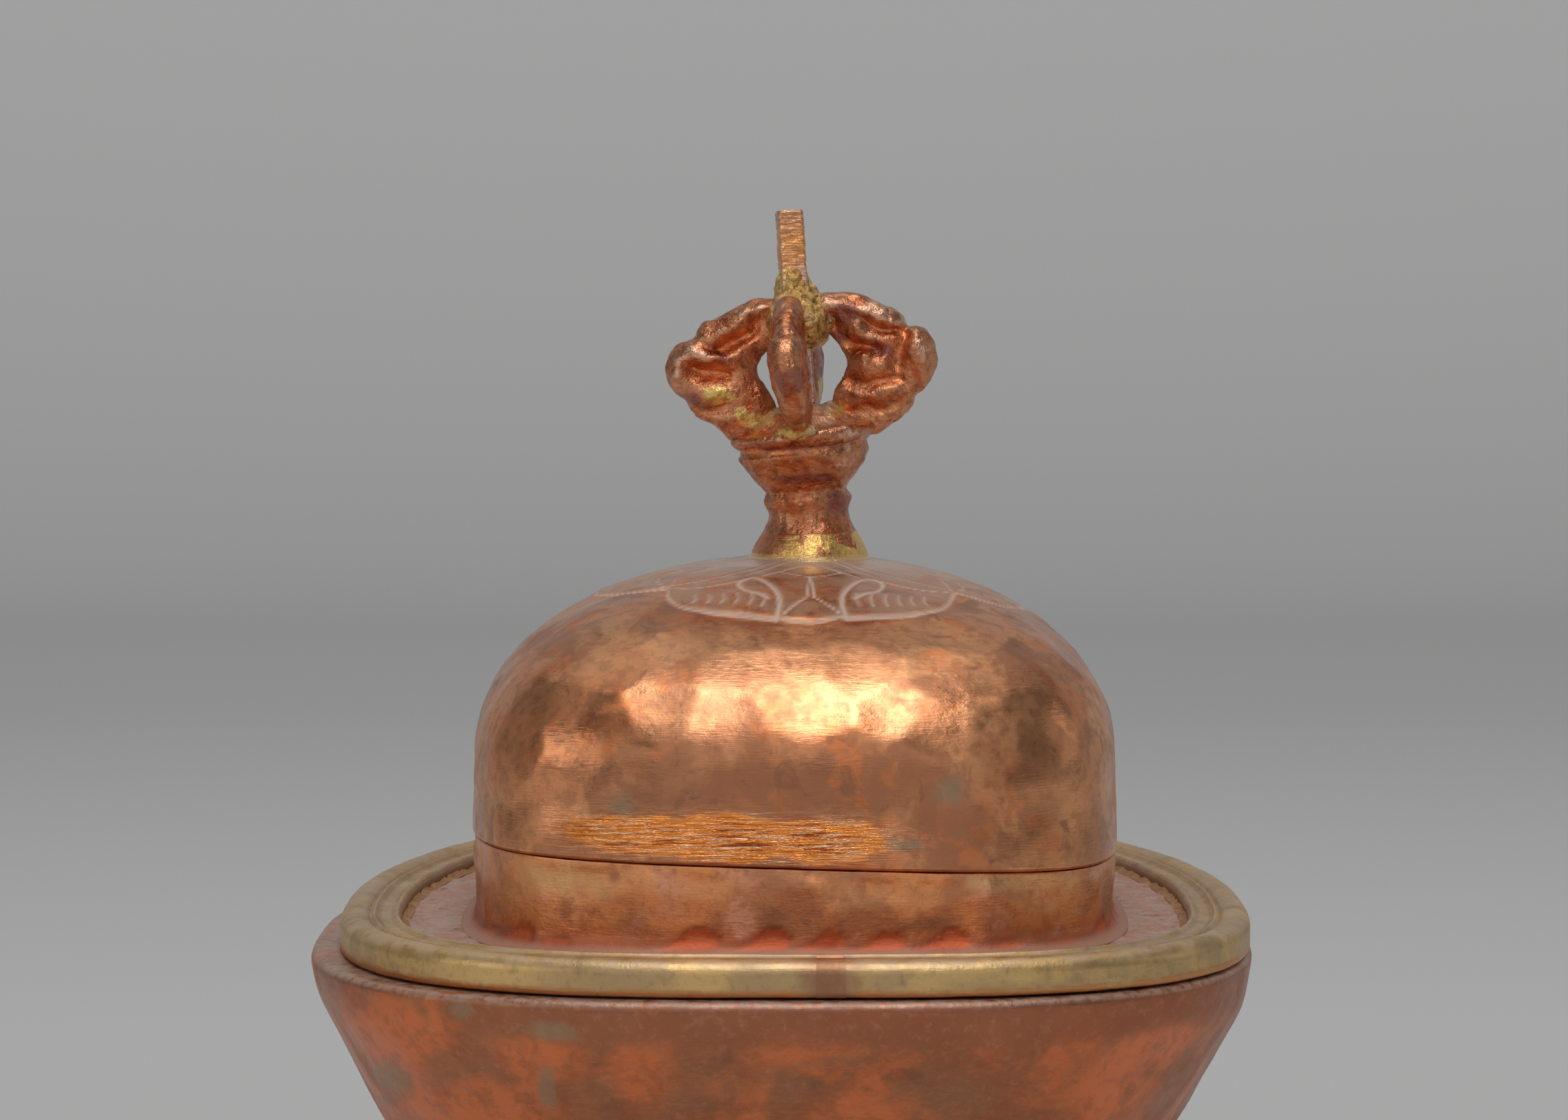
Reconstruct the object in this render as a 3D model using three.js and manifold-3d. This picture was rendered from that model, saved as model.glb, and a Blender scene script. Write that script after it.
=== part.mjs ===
// A lidded skull cup in raised and soldered copper, with a brass rim and a cast half vajra for its knob.
// Millimetres, +Z up. The broad front end faces -Y, and the origin lies under the middle of the foot.
// Every plan section is the outline of the bowl's lip, drawn in by an inset or scaled towards its middle.

import * as THREE from 'three';
import { mergeVertices } from 'three/addons/utils/BufferGeometryUtils.js';
import Module from 'manifold-3d';

const wasm = await Module();
wasm.setup();

// Clearances that every piece shares
const gap = 0.3;
const overrun = 1;

// The lip's outline: two half superellipses that meet in the widest plane
const lipHalfWidth = 65.7;
const lipFrontReach = 67;
const lipBackReach = 102.9;
const frontPowerShare = 2.95;
const backPowerShare = 1.9;

// Bowl
const bowlDepth = 67;
const bowlClearance = 5;
const bowlWall = 1.5;
const bowlPowerShare = 2.6;
const lipRound = 1.2;
const lipBandHeight = 3.5;
const ledgeWidth = 9;
const ledgeThickness = 1.8;

// Foot ring
const footHalfWidth = 25.2;
const footWall = 2.6;
const footFlare = 2.4;

// Lid: how far its middle sits to the right of the bowl's, and how far its rim stands in from the lip
const lidShift = 1.8;
const rimInset = 2.05;

// Rim moulding, with the joint in its front
const rimWidth = 8.6;
const rimHeight = 4.8;
const rimRebate = 4.2;
const rimJointOffset = 4.4;
const rimJointWidth = 3.4;

// Flange plate, its solder fillet and the locating collar under it
const plateRise = 1.2;
const plateThickness = 1.2;
const plateLedge = 3;
const solderWidth = 1.6;
const solderHeight = 0.9;
const collarClearance = 0.7;
const collarThickness = 1.2;
const collarDrop = 6;

// Dome: the plain strip below and the raised shell above it
const recessWidth = 9.87;
const domeHeight = 49.1;
const crownPowerShare = 2.3;
const domeWallHeight = 22.35;
const shellWall = 1.2;
const seamHeight = 11.8;
const seamStep = 0.35;
const seamLap = 2.5;
const bandWall = 1;
const bandFootFlare = 2;
const bandFootHeight = 2.4;
const bandFootEdge = 0.35;

// Finial: the cast base, its tang and the washer that the tang is riveted over
const finialShift = 2.2;
const finialLean = THREE.MathUtils.degToRad(3.6);
const neckHeight = 6;
const cupHeight = 18.6;
const cupRadius = 11.2;
const footRadius = 8;
const footTaper = 0.45;
const tangRadius = 2.4;
const tangHeadWidth = 1;
const tangHeadHeight = 1.2;
const roveRadius = 6;
const roveThickness = 1;

// Finial: the square bar and the four prongs
const barSide = 3.8;
const barBevel = 0.25;
const barTopHeight = 50.4;
const barTurn = THREE.MathUtils.degToRad(10);
const socketDepth = 4;
const prongReach = 20.1;
const prongHeight = 20.5;
const prongThickness = 5;
const prongRoundShare = 0.75;
const cageTurn = THREE.MathUtils.degToRad(-3.4);

// Brazing metal on the finial
const footBrazeWidth = 0.95;
const footBrazeHeight = 2.4;
const crownBrazeRadius = 5.9;
const crownBrazeHeight = 8.6;
const crownBrazeStart = 31.8;
const crownBrazeWall = 0.5;
const seatBrazeWidth = 3.6;
const seatBrazeDepth = 1.7;
const seatBrazeHeight = 1.5;

// How finely round shapes are stepped
const planSteps = 72;
const wallSteps = 9;
const latheSteps = 24;
const quarterSteps = 7;
const prongSteps = 15;
const prongSides = 10;

// Heights and insets that several pieces share
const turn = 2 * Math.PI;
const front = -turn / 4;
const planCentre = (lipBackReach - lipFrontReach) / 2;
const lipTop = bowlClearance + bowlDepth;
const lidBase = lipTop + gap;
const plateBase = lidBase + plateRise;
const plateTop = plateBase + plateThickness;
const domeInset = rimInset + rimWidth + recessWidth;
const collarInset = ledgeWidth + lidShift + collarClearance;
const domeTop = plateTop + domeHeight;
const finialBase = domeTop + gap;
const barHalfDiagonal = (barSide / 2) * Math.SQRT2;

// Metals, as the photograph shows them
const bowlCopper = metal(0xa8603f, 0.5);
const domeCopper = metal(0xb37a4c, 0.38);
const bandCopper = metal(0xb2654a, 0.42);
const castCopper = metal(0x9c573c, 0.5);
const plateCopper = metal(0x94604e, 0.6);
const filedCopper = metal(0xbd7a55, 0.35);
const rimBrass = metal(0x9c8a5a, 0.42);
const brazeBrass = metal(0xb0953f, 0.45);
const solderMetal = metal(0x8f5f3a, 0.65);

function metal(colour, roughness) {
  return new THREE.MeshStandardMaterial({ color: colour, roughness, metalness: 1 });
}

// A point of the lip's outline at an angle about the widest plane, moved in along the normal by the inset
function planPoint(angle, inset) {
  const across = Math.cos(angle);
  const along = Math.sin(angle);
  const reach = along < 0 ? lipFrontReach : lipBackReach;
  const power = along < 0 ? frontPowerShare : backPowerShare;
  const sum = (Math.abs(across) / lipHalfWidth) ** power + (Math.abs(along) / reach) ** power;
  const radius = sum ** (-1 / power);
  const x = radius * across;
  const y = radius * along;
  const normal = new THREE.Vector2(
    (Math.sign(x) * (Math.abs(x) / lipHalfWidth) ** (power - 1)) / lipHalfWidth,
    (Math.sign(y) * (Math.abs(y) / reach) ** (power - 1)) / reach,
  ).normalize();
  return new THREE.Vector2(x - inset * normal.x, y - inset * normal.y - planCentre);
}

// One level ring of the plan: inset first, then scaled towards the middle
function planRing(inset, scale, height) {
  return Array.from({ length: planSteps }, (_, step) => {
    const point = planPoint((turn * step) / planSteps, inset).multiplyScalar(scale);
    return new THREE.Vector3(point.x, point.y, height);
  });
}

// Merges equal points, drops the triangles that this leaves without area and turns the faces outwards
function weld(geometry) {
  const bare = geometry.clone();
  bare.deleteAttribute('normal');
  bare.deleteAttribute('uv');
  const merged = mergeVertices(bare);
  const index = merged.index.array;
  const position = merged.getAttribute('position');
  const [a, b, c] = [new THREE.Vector3(), new THREE.Vector3(), new THREE.Vector3()];
  const kept = [];
  let volume = 0;
  for (let i = 0; i < index.length; i += 3) {
    const [p, q, r] = [index[i], index[i + 1], index[i + 2]];
    if (p !== q && q !== r && r !== p) {
      kept.push(p, q, r);
      a.fromBufferAttribute(position, p);
      b.fromBufferAttribute(position, q);
      c.fromBufferAttribute(position, r);
      volume += a.dot(b.cross(c));
    }
  }
  merged.setIndex(volume < 0 ? kept.reverse() : kept);
  merged.computeVertexNormals();
  return merged;
}

// Joins closed rings of equal length into a skin. The last ring meets the first, or each end is a point,
// or an end is closed by the flat outline given for it.
function skin(rings, { meet = false, endOutline = null } = {}) {
  const size = rings[0].length;
  const points = rings.flat();
  const triangles = [];
  const bands = meet ? rings.length : rings.length - 1;
  for (let ring = 0; ring < bands; ring += 1) {
    const here = ring * size;
    const next = ((ring + 1) % rings.length) * size;
    for (let step = 0; step < size; step += 1) {
      const after = (step + 1) % size;
      triangles.push(here + step, next + step, next + after);
      triangles.push(here + step, next + after, here + after);
    }
  }
  if (endOutline) {
    const last = (rings.length - 1) * size;
    for (const [p, q, r] of THREE.ShapeUtils.triangulateShape(endOutline, [])) {
      triangles.push(p, q, r);
      triangles.push(last + r, last + q, last + p);
    }
  }
  const geometry = new THREE.BufferGeometry().setFromPoints(points);
  geometry.setIndex(triangles);
  return weld(geometry);
}

// A section of [inset, height] points carried right round the plan
function planBand(section) {
  return skin(section.map(([inset, height]) => planRing(inset, 1, height)), { meet: true });
}

// The same section carried between two angles, with flat ends
function planRail(section, fromAngle, toAngle, steps) {
  const rings = Array.from({ length: steps + 1 }, (_, step) => {
    const angle = THREE.MathUtils.lerp(fromAngle, toAngle, step / steps);
    return section.map(([inset, height]) => {
      const point = planPoint(angle, inset);
      return new THREE.Vector3(point.x, point.y, height);
    });
  });
  const ends = section.map(([inset, height]) => new THREE.Vector2(inset, height));
  const turnedRight = THREE.ShapeUtils.isClockWise(ends);
  const ordered = turnedRight ? rings.map((ring) => ring.reverse()) : rings;
  return skin(ordered, { endOutline: turnedRight ? ends.reverse() : ends });
}

// A turned body from [radius, height] points that start and end on the axis or close on themselves
function turned(profile, steps = latheSteps) {
  const points = profile.map(([radius, height]) => new THREE.Vector2(radius, height));
  return weld(new THREE.LatheGeometry(points, steps).rotateX(turn / 4));
}

function toSolid(geometry) {
  const welded = weld(geometry);
  return new wasm.Manifold(new wasm.Mesh({
    numProp: 3,
    vertProperties: welded.getAttribute('position').array,
    triVerts: new Uint32Array(welded.index.array),
  }));
}

function fromSolid(solid) {
  const mesh = solid.getMesh();
  const geometry = new THREE.BufferGeometry();
  geometry.setAttribute('position', new THREE.BufferAttribute(mesh.vertProperties, 3));
  geometry.setIndex(Array.from(mesh.triVerts));
  return weld(geometry);
}

function cut(body, ...tools) {
  return fromSolid(tools.reduce((solid, tool) => solid.subtract(toSolid(tool)), toSolid(body)));
}

// The bowl's outer skin rises as a power of the section's scale, from a point at the bottom to the lip
function bowlHeight(scale, bottom, top) {
  return bottom + (top - bottom) * scale ** bowlPowerShare;
}

// Raised bowl: outer skin up from the bottom, rounded lip, the ledge turned in, and the inner skin back down
function bowlShell() {
  const outerTop = lipTop - lipRound;
  const innerTop = lipTop - ledgeThickness;
  const outer = Array.from({ length: wallSteps + 1 }, (_, step) => {
    const scale = Math.sin(((step / wallSteps) * turn) / 4);
    return planRing(0, scale, bowlHeight(scale, bowlClearance, lipTop - lipBandHeight));
  });
  const lip = Array.from({ length: 2 }, (_, step) => {
    const angle = ((step + 1) * turn) / 8;
    return planRing(lipRound * (1 - Math.cos(angle)), 1, outerTop + lipRound * Math.sin(angle));
  });
  const ledge = [
    planRing(ledgeWidth, 1, lipTop),
    planRing(ledgeWidth, 1, innerTop),
    planRing(bowlWall, 1, innerTop),
  ];
  const inner = Array.from({ length: wallSteps + 1 }, (_, step) => {
    const scale = Math.cos(((step / wallSteps) * turn) / 4);
    return planRing(bowlWall, scale, bowlHeight(scale, bowlClearance + bowlWall, lipTop - lipBandHeight));
  });
  return skin([...outer, planRing(0, 1, outerTop), ...lip, ...ledge, ...inner]);
}

// Oval foot ring, its top edge bedded to the slope of the bowl above it
function footRing() {
  const ringRow = (halfWidth, height) => planRing(0, halfWidth / lipHalfWidth, height);
  const seat = (halfWidth) => (
    bowlHeight(halfWidth / lipHalfWidth, bowlClearance, lipTop - lipBandHeight) - gap
  );
  const innerHalf = footHalfWidth - footWall;
  return skin([
    ringRow(footHalfWidth + footFlare, 0),
    ringRow(footHalfWidth, seat(innerHalf)),
    ringRow(footHalfWidth, seat(footHalfWidth)),
    ringRow(innerHalf, seat(innerHalf)),
    ringRow(innerHalf + footFlare, 0),
  ], { meet: true });
}

// The moulding's section: a rounded outer edge, two thin beads with a flat between, and the plate's rebate
const rimTopShares = [
  [0, 0.65], [0.04, 0.83], [0.12, 0.96], [0.26, 1], [0.42, 0.93], [0.5, 0.84],
  [0.56, 0.93], [0.62, 0.84], [0.86, 0.82], [0.92, 0.91], [1, 0.76],
];

function rimSection() {
  const top = rimTopShares.map(([inShare, upShare]) => [
    rimInset + rimWidth * inShare,
    lidBase + rimHeight * upShare,
  ]);
  return [
    [rimInset, lidBase],
    ...top,
    [rimInset + rimWidth, plateTop],
    [rimInset + rimRebate, plateTop],
    [rimInset + rimRebate, lidBase],
  ];
}

// The angle of the plan at which the rim's outer edge stands a given way off the middle of its front
function frontAngle(offset) {
  return front + Math.atan(offset / (lipFrontReach - rimInset));
}

// Bent brass moulding, open at the butt joint in its front
function rimMoulding() {
  const jointStart = frontAngle(rimJointOffset - rimJointWidth / 2);
  const jointEnd = frontAngle(rimJointOffset + rimJointWidth / 2);
  return planRail(rimSection(), jointEnd, jointStart + turn, planSteps);
}

// Brazing metal that fills the butt joint
function rimJointBraze() {
  const jointStart = frontAngle(rimJointOffset - rimJointWidth / 2 + gap);
  const jointEnd = frontAngle(rimJointOffset + rimJointWidth / 2 - gap);
  return planRail(rimSection(), jointStart, jointEnd, 2);
}

// Flat copper plate, let into the rim's rebate, with an open middle under the dome
function flangePlate() {
  const outerInset = rimInset + rimRebate + gap;
  const innerInset = domeInset + seamStep + bandWall + plateLedge;
  return planBand([
    [outerInset, plateBase],
    [outerInset, plateTop],
    [innerInset, plateTop],
    [innerInset, plateBase],
  ]);
}

// Solder run into the corner between the plate and the rim
function plateSolder() {
  const start = rimInset + rimWidth + gap;
  return planBand([
    [start, plateTop],
    [start, plateTop + solderHeight],
    [start + solderWidth, plateTop],
  ]);
}

// Strip under the plate that drops inside the bowl's ledge and keeps the lid in place
function lidCollar() {
  return planBand([
    [collarInset, plateBase],
    [collarInset + collarThickness, plateBase],
    [collarInset + collarThickness, lidBase - collarDrop],
    [collarInset, lidBase - collarDrop],
  ]);
}

// Lower strip of the dome: a foot turned out on to the plate, and a top edge joggled in under the shell
function domeBand() {
  const outer = domeInset + seamStep;
  const lapped = domeInset + shellWall + gap;
  const seam = plateTop + seamHeight - gap;
  const shoulder = lapped - outer;
  const foot = Array.from({ length: 3 }, (_, step) => {
    const angle = ((step + 1) * turn) / 16;
    return [
      outer - bandFootFlare * (1 - Math.sin(angle)),
      plateTop + bandFootEdge + (bandFootHeight - bandFootEdge) * (1 - Math.cos(angle)),
    ];
  });
  return planBand([
    [outer - bandFootFlare, plateTop],
    [outer - bandFootFlare, plateTop + bandFootEdge],
    ...foot,
    [outer, plateTop + bandFootHeight],
    [outer, seam],
    [lapped, seam],
    [lapped, seam + gap + seamLap],
    [lapped + bandWall, seam + gap + seamLap],
    [lapped + bandWall, seam - shoulder],
    [outer + bandWall, seam - 2 * shoulder],
    [outer + bandWall, plateTop],
  ]);
}

// Rings of the dome's skin: a straight wall, then a quarter superellipse up to the crown
function domeSkin(inset, bottom, top) {
  const wallTop = plateTop + domeWallHeight;
  const cap = Array.from({ length: wallSteps }, (_, step) => {
    const angle = (((step + 1) / wallSteps) * turn) / 4;
    const scale = step + 1 < wallSteps ? Math.cos(angle) ** (2 / crownPowerShare) : 0;
    return planRing(inset, scale, wallTop + (top - wallTop) * Math.sin(angle) ** (2 / crownPowerShare));
  });
  return [planRing(inset, 1, bottom), planRing(inset, 1, wallTop), ...cap];
}

// Raised copper shell, with a hole in its crown for the finial's tang
function domeShell() {
  const seam = plateTop + seamHeight;
  const outer = domeSkin(domeInset, seam, domeTop);
  const inner = domeSkin(domeInset + shellWall, seam, domeTop - shellWall);
  const holeDepth = shellWall + 2 * overrun;
  const hole = new THREE.CylinderGeometry(tangRadius + gap, tangRadius + gap, holeDepth, latheSteps)
    .rotateX(turn / 4)
    .translate(finialShift, 0, domeTop - shellWall / 2);
  return cut(skin([...outer.reverse(), ...inner]), hole);
}

// How far the dome's inner skin has dropped from the crown at a distance from its middle
function ceilingDrop(distance) {
  const rise = domeHeight - domeWallHeight - shellWall;
  const halfWidth = lipHalfWidth - domeInset - shellWall;
  return rise * (1 - (1 - (distance / halfWidth) ** crownPowerShare) ** (1 / crownPowerShare));
}

// The finial is worked out upright, with height 0 at its foot, then bent over at the neck: the axis is an
// arc from the foot to the neck's height and straight above it. Below the foot it stays upright.
function leanOver(geometry) {
  const bendRadius = neckHeight / finialLean;
  const position = geometry.getAttribute('position');
  for (let i = 0; i < position.count; i += 1) {
    const height = position.getZ(i);
    const bent = THREE.MathUtils.clamp(height, 0, neckHeight);
    const straight = height - bent;
    const angle = bent / bendRadius;
    const side = position.getX(i);
    const axisX = -bendRadius * (1 - Math.cos(angle)) - straight * Math.sin(angle);
    const axisZ = bendRadius * Math.sin(angle) + straight * Math.cos(angle);
    position.setXYZ(
      i,
      axisX + side * Math.cos(angle),
      position.getY(i),
      axisZ + side * Math.sin(angle),
    );
  }
  geometry.computeVertexNormals();
  return geometry;
}

// The cast base above its foot: neck ridge, cup and lip, as shares of the cup's radius and height
const baseProfileShares = [
  [0.59, 0.26], [0.54, 0.33], [0.52, 0.38], [0.56, 0.425], [0.53, 0.47], [0.59, 0.54],
  [0.74, 0.645], [0.86, 0.77], [0.93, 0.87], [0.91, 0.915], [1, 0.96], [1, 0.985], [0.95, 1],
];

// How far the rove and the tang's head lie under the foot
function roveTop() {
  return -(gap + shellWall + ceilingDrop(finialShift + roveRadius) + gap);
}

// Cast base with its tang, a riveted head below the rove, and a square socket for the bar
function finialBaseBody() {
  const headTop = roveTop() - roveThickness - gap;
  const body = turned([
    [0, headTop - tangHeadHeight],
    [tangRadius, headTop - tangHeadHeight],
    [tangRadius + tangHeadWidth, headTop - tangHeadHeight / 2],
    [tangRadius + tangHeadWidth, headTop],
    [tangRadius, headTop],
    [tangRadius, 0],
    [footRadius, 0],
    [footRadius - footTaper, footBrazeHeight],
    ...baseProfileShares.map(([outShare, upShare]) => [cupRadius * outShare, cupHeight * upShare]),
    [0, cupHeight],
  ]);
  const socket = barBody(barSide + 2 * gap, cupHeight - socketDepth, cupHeight + overrun, 0);
  return cut(body, socket);
}

// Square bar between two heights, turned a little about its own length, with its long edges bevelled
function barBody(side, bottom, top, bevel) {
  const half = side / 2;
  const square = new THREE.Shape([
    new THREE.Vector2(half, half - bevel),
    new THREE.Vector2(half - bevel, half),
    new THREE.Vector2(bevel - half, half),
    new THREE.Vector2(-half, half - bevel),
    new THREE.Vector2(-half, bevel - half),
    new THREE.Vector2(bevel - half, -half),
    new THREE.Vector2(half - bevel, -half),
    new THREE.Vector2(half, bevel - half),
  ]);
  return new THREE.ExtrudeGeometry(square, { depth: top - bottom, steps: 1, bevelEnabled: false })
    .translate(0, 0, bottom)
    .rotateZ(barTurn);
}

function spireBar() {
  return weld(barBody(barSide, cupHeight - socketDepth + gap, barTopHeight, barBevel));
}

// Washer under the crown, which the tang's head is hammered down on
function tangRove() {
  const top = roveTop();
  return turned([
    [tangRadius + gap, top],
    [roveRadius, top],
    [roveRadius, top - roveThickness],
    [tangRadius + gap, top - roveThickness],
    [tangRadius + gap, top],
  ]);
}

// Brazing metal round the foot of the base
function footBraze() {
  return turned([
    [footRadius + gap, 0],
    [footRadius + gap + footBrazeWidth, 0],
    [footRadius - footTaper / 2 + gap + footBrazeWidth, footBrazeHeight / 2],
    [footRadius - footTaper + gap + footBrazeWidth / 2, footBrazeHeight],
    [footRadius - footTaper + gap, footBrazeHeight],
    [footRadius + gap, 0],
  ]);
}

// A prong from its head at the bar, over a bump, a notch and the broad bulge, down to its foot on the cup.
// Each station gives a point of the outer edge and the facing point of the inner edge, as shares of the
// prong's reach from the axis and of its height above the cup. The head's own two are heights alone.
const prongHeadShares = [0.96, 0.7];
const prongStationShares = [
  [[0.34, 0.94], [0.22, 0.64]],
  [[0.53, 0.865], [0.27, 0.6]],
  [[0.69, 0.8], [0.3, 0.57]],
  [[0.76, 0.715], [0.315, 0.53]],
  [[0.92, 0.63], [0.325, 0.49]],
  [[1, 0.46], [0.33, 0.43]],
  [[0.965, 0.335], [0.32, 0.35]],
  [[0.86, 0.2], [0.28, 0.25]],
  [[0.79, 0.11], [0.25, 0.16]],
  [[0.7, 0.035], [0.24, 0.07]],
  [[0.61, 0], [0.235, 0]],
];

// One prong, lofted through rounded sections between its two edges. Growing it by a clearance on every
// side, ends included, gives the tool that cuts room for it in the brazing metal.
function prongBody(quarter, growth = 0) {
  const base = cupHeight + gap;
  const head = Math.max(barHalfDiagonal, prongThickness / 2) + gap;
  const edge = (side) => new THREE.SplineCurve([
    new THREE.Vector2(head, base + prongHeight * prongHeadShares[side]),
    ...prongStationShares.map((station) => new THREE.Vector2(
      prongReach * station[side][0],
      base + prongHeight * station[side][1],
    )),
  ]);
  const [outer, inner] = [edge(0), edge(1)];
  const section = (share, outwards, upwards) => {
    const [from, to] = [inner.getPoint(share), outer.getPoint(share)];
    const middle = from.clone().lerp(to, 1 / 2).add(new THREE.Vector2(outwards, upwards));
    const half = to.clone().sub(from).multiplyScalar(1 / 2);
    half.setLength(half.length() + growth);
    return Array.from({ length: prongSides }, (_, side) => {
      const angle = (turn * side) / prongSides;
      const along = Math.sign(Math.cos(angle)) * Math.abs(Math.cos(angle)) ** prongRoundShare;
      const across = Math.sign(Math.sin(angle)) * Math.abs(Math.sin(angle)) ** prongRoundShare;
      return new THREE.Vector3(
        middle.x + half.x * along,
        (prongThickness / 2 + growth) * across,
        middle.y + half.y * along,
      );
    });
  };
  const rings = Array.from({ length: prongSteps + 1 }, (_, step) => section(step / prongSteps, 0, 0));
  if (growth > 0) {
    rings.unshift(section(0, -growth, 0));
    rings.push(section(1, 0, -growth));
  }
  const endOutline = Array.from({ length: prongSides }, (_, side) => {
    const angle = (turn * side) / prongSides;
    return new THREE.Vector2(Math.cos(angle), Math.sin(angle));
  });
  return skin(rings, { endOutline }).rotateZ(cageTurn + (quarter * turn) / 4);
}

// Lump of brazing metal that holds the four heads to the bar
const crownProfileShares = [[0.6, 0], [0.92, 0.19], [1, 0.4], [0.76, 0.72]];

function crownBraze() {
  const neck = barHalfDiagonal + gap + crownBrazeWall;
  const top = crownBrazeStart + crownBrazeHeight;
  const lump = turned([
    [0, crownBrazeStart],
    ...crownProfileShares.map(([outShare, upShare]) => [
      crownBrazeRadius * outShare,
      crownBrazeStart + crownBrazeHeight * upShare,
    ]),
    [neck, top - crownBrazeWall],
    [neck, top],
    [0, top],
  ], 2 * quarterSteps);
  const hole = barBody(barSide + 2 * gap, crownBrazeStart - overrun, top + overrun, 0);
  return cut(lump, hole, ...[0, 1, 2, 3].map((quarter) => prongBody(quarter, gap)));
}

// Bead of brazing metal at the outer foot of a prong, on the lip of the cup
function prongBraze(quarter) {
  const reach = prongReach * prongStationShares.at(-1)[0][0];
  const bead = new THREE.SphereGeometry(1, 2 * quarterSteps, quarterSteps)
    .scale(seatBrazeDepth, seatBrazeWidth, seatBrazeHeight)
    .translate(reach, 0, cupHeight + gap)
    .rotateZ(cageTurn + (quarter * turn) / 4);
  const cupTool = new THREE.CylinderGeometry(
    cupRadius + gap, cupRadius + gap, cupHeight, latheSteps,
  ).rotateX(turn / 4).translate(0, 0, cupHeight / 2 + gap);
  return cut(bead, prongBody(quarter, gap), cupTool);
}

function named(name, geometry, material) {
  const mesh = new THREE.Mesh(geometry, material);
  mesh.name = name;
  return mesh;
}

// The finial stands on the crown, a little to the right of the lid's middle
function finial() {
  const group = new THREE.Group();
  const pieces = [
    ['finial_base', finialBaseBody(), castCopper],
    ['spire_bar', spireBar(), filedCopper],
    ['prong_right', prongBody(0), castCopper],
    ['prong_back', prongBody(1), castCopper],
    ['prong_left', prongBody(2), castCopper],
    ['prong_front', prongBody(3), castCopper],
    ['crown_braze', crownBraze(), brazeBrass],
    ['foot_braze', footBraze(), brazeBrass],
    ['front_prong_braze', prongBraze(3), brazeBrass],
    ['back_prong_braze', prongBraze(1), brazeBrass],
    ['tang_rove', tangRove(), rimBrass],
  ];
  for (const [name, geometry, material] of pieces) {
    group.add(named(name, leanOver(geometry), material));
  }
  group.position.set(finialShift, 0, finialBase);
  return group;
}

function lid() {
  const group = new THREE.Group();
  group.add(
    named('dome_shell', domeShell(), domeCopper),
    named('dome_band', domeBand(), bandCopper),
    named('flange_plate', flangePlate(), plateCopper),
    named('rim_moulding', rimMoulding(), rimBrass),
    named('rim_joint_braze', rimJointBraze(), solderMetal),
    named('plate_solder', plateSolder(), solderMetal),
    named('lid_collar', lidCollar(), plateCopper),
    finial(),
  );
  group.position.x = lidShift;
  return group;
}

const cup = new THREE.Group();
cup.add(
  named('bowl_shell', bowlShell(), bowlCopper),
  named('foot_ring', footRing(), bowlCopper),
  lid(),
);

export default cup;
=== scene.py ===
"""A lidded skull cup of raised copper, with a brass rim and a cast half vajra for its knob.

The file follows the cup as it is put together: bowl, foot, rim, plate, dome and knob. Lengths are in metres, and
most of them are written as so many mm. +Z is up, and the broad front end faces -Y.
"""
import math

import bpy
import numpy as np
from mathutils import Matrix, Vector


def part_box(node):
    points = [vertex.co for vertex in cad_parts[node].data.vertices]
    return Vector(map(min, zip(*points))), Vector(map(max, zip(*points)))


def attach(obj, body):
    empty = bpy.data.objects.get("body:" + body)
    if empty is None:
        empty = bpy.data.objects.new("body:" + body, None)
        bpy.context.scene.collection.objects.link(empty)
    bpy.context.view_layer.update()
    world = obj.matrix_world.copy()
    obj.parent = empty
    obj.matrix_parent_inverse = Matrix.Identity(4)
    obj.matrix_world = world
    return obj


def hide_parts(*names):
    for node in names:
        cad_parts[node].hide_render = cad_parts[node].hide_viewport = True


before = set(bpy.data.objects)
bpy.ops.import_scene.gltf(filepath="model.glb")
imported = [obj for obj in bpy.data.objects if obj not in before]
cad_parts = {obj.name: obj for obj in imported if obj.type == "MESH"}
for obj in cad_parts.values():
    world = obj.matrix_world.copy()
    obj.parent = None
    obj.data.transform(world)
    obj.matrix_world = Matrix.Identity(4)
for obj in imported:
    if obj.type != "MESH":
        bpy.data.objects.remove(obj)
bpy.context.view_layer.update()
mm = 0.001
turn = 2 * math.pi


# The viewpoint: a long lens a little above the lid and about two thirds of a metre in front of the cup. The
# photograph's horizon gives how far the camera looks down.
picture_width = 2274
picture_middle_row = 812
horizon_row = 400
lens_length = 100
sensor_width = 36
eye_right = 0.29 * mm
eye_back = 636.15 * mm
eye_above_rim = 92.4 * mm

rim_low, rim_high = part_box("rim_moulding")
pitch = math.atan((picture_middle_row - horizon_row) * sensor_width / (picture_width * lens_length))
viewpoint = bpy.data.objects.new("viewpoint", bpy.data.cameras.new("viewpoint"))
viewpoint.data.lens = lens_length
viewpoint.data.sensor_width = sensor_width
viewpoint.location = (eye_right, -eye_back, rim_low.z + eye_above_rim)
viewpoint.rotation_euler = (turn / 4 - pitch, 0, 0)
bpy.context.collection.objects.link(viewpoint)
bpy.context.scene.camera = viewpoint
bpy.context.scene.view_settings.view_transform = "Standard"


# The sweep: one pale grey paper sheet that lies under the cup and curves up behind it. Its tone changes a little
# along its length, as the fall of the light on it does in the photograph.
sweep_half_width = 4.0
sweep_front = -4.0
sweep_flat_start = -2.0
sweep_flat_steps = 36
sweep_bend_start = 1.5
sweep_bend_radius = 0.9
sweep_bend_steps = 32
sweep_lean = math.radians(66)
sweep_slope_length = 4.0
sweep_roughness = 0.85
# The tones are painted light and shade on the paper: lighter in front of the cup, darker from under it back to where
# the paper bends up, and lighter again up the bend and the slope.
sweep_painted_light_tones = ((0.0, 0.66), (3.7, 0.66), (4.1, 0.53), (4.3, 0.575), (4.6, 0.57), (5.0, 0.55), (5.4, 0.58),
               (5.8, 0.675), (6.3, 0.815), (6.9, 0.9), (10.0, 0.89))

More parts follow.
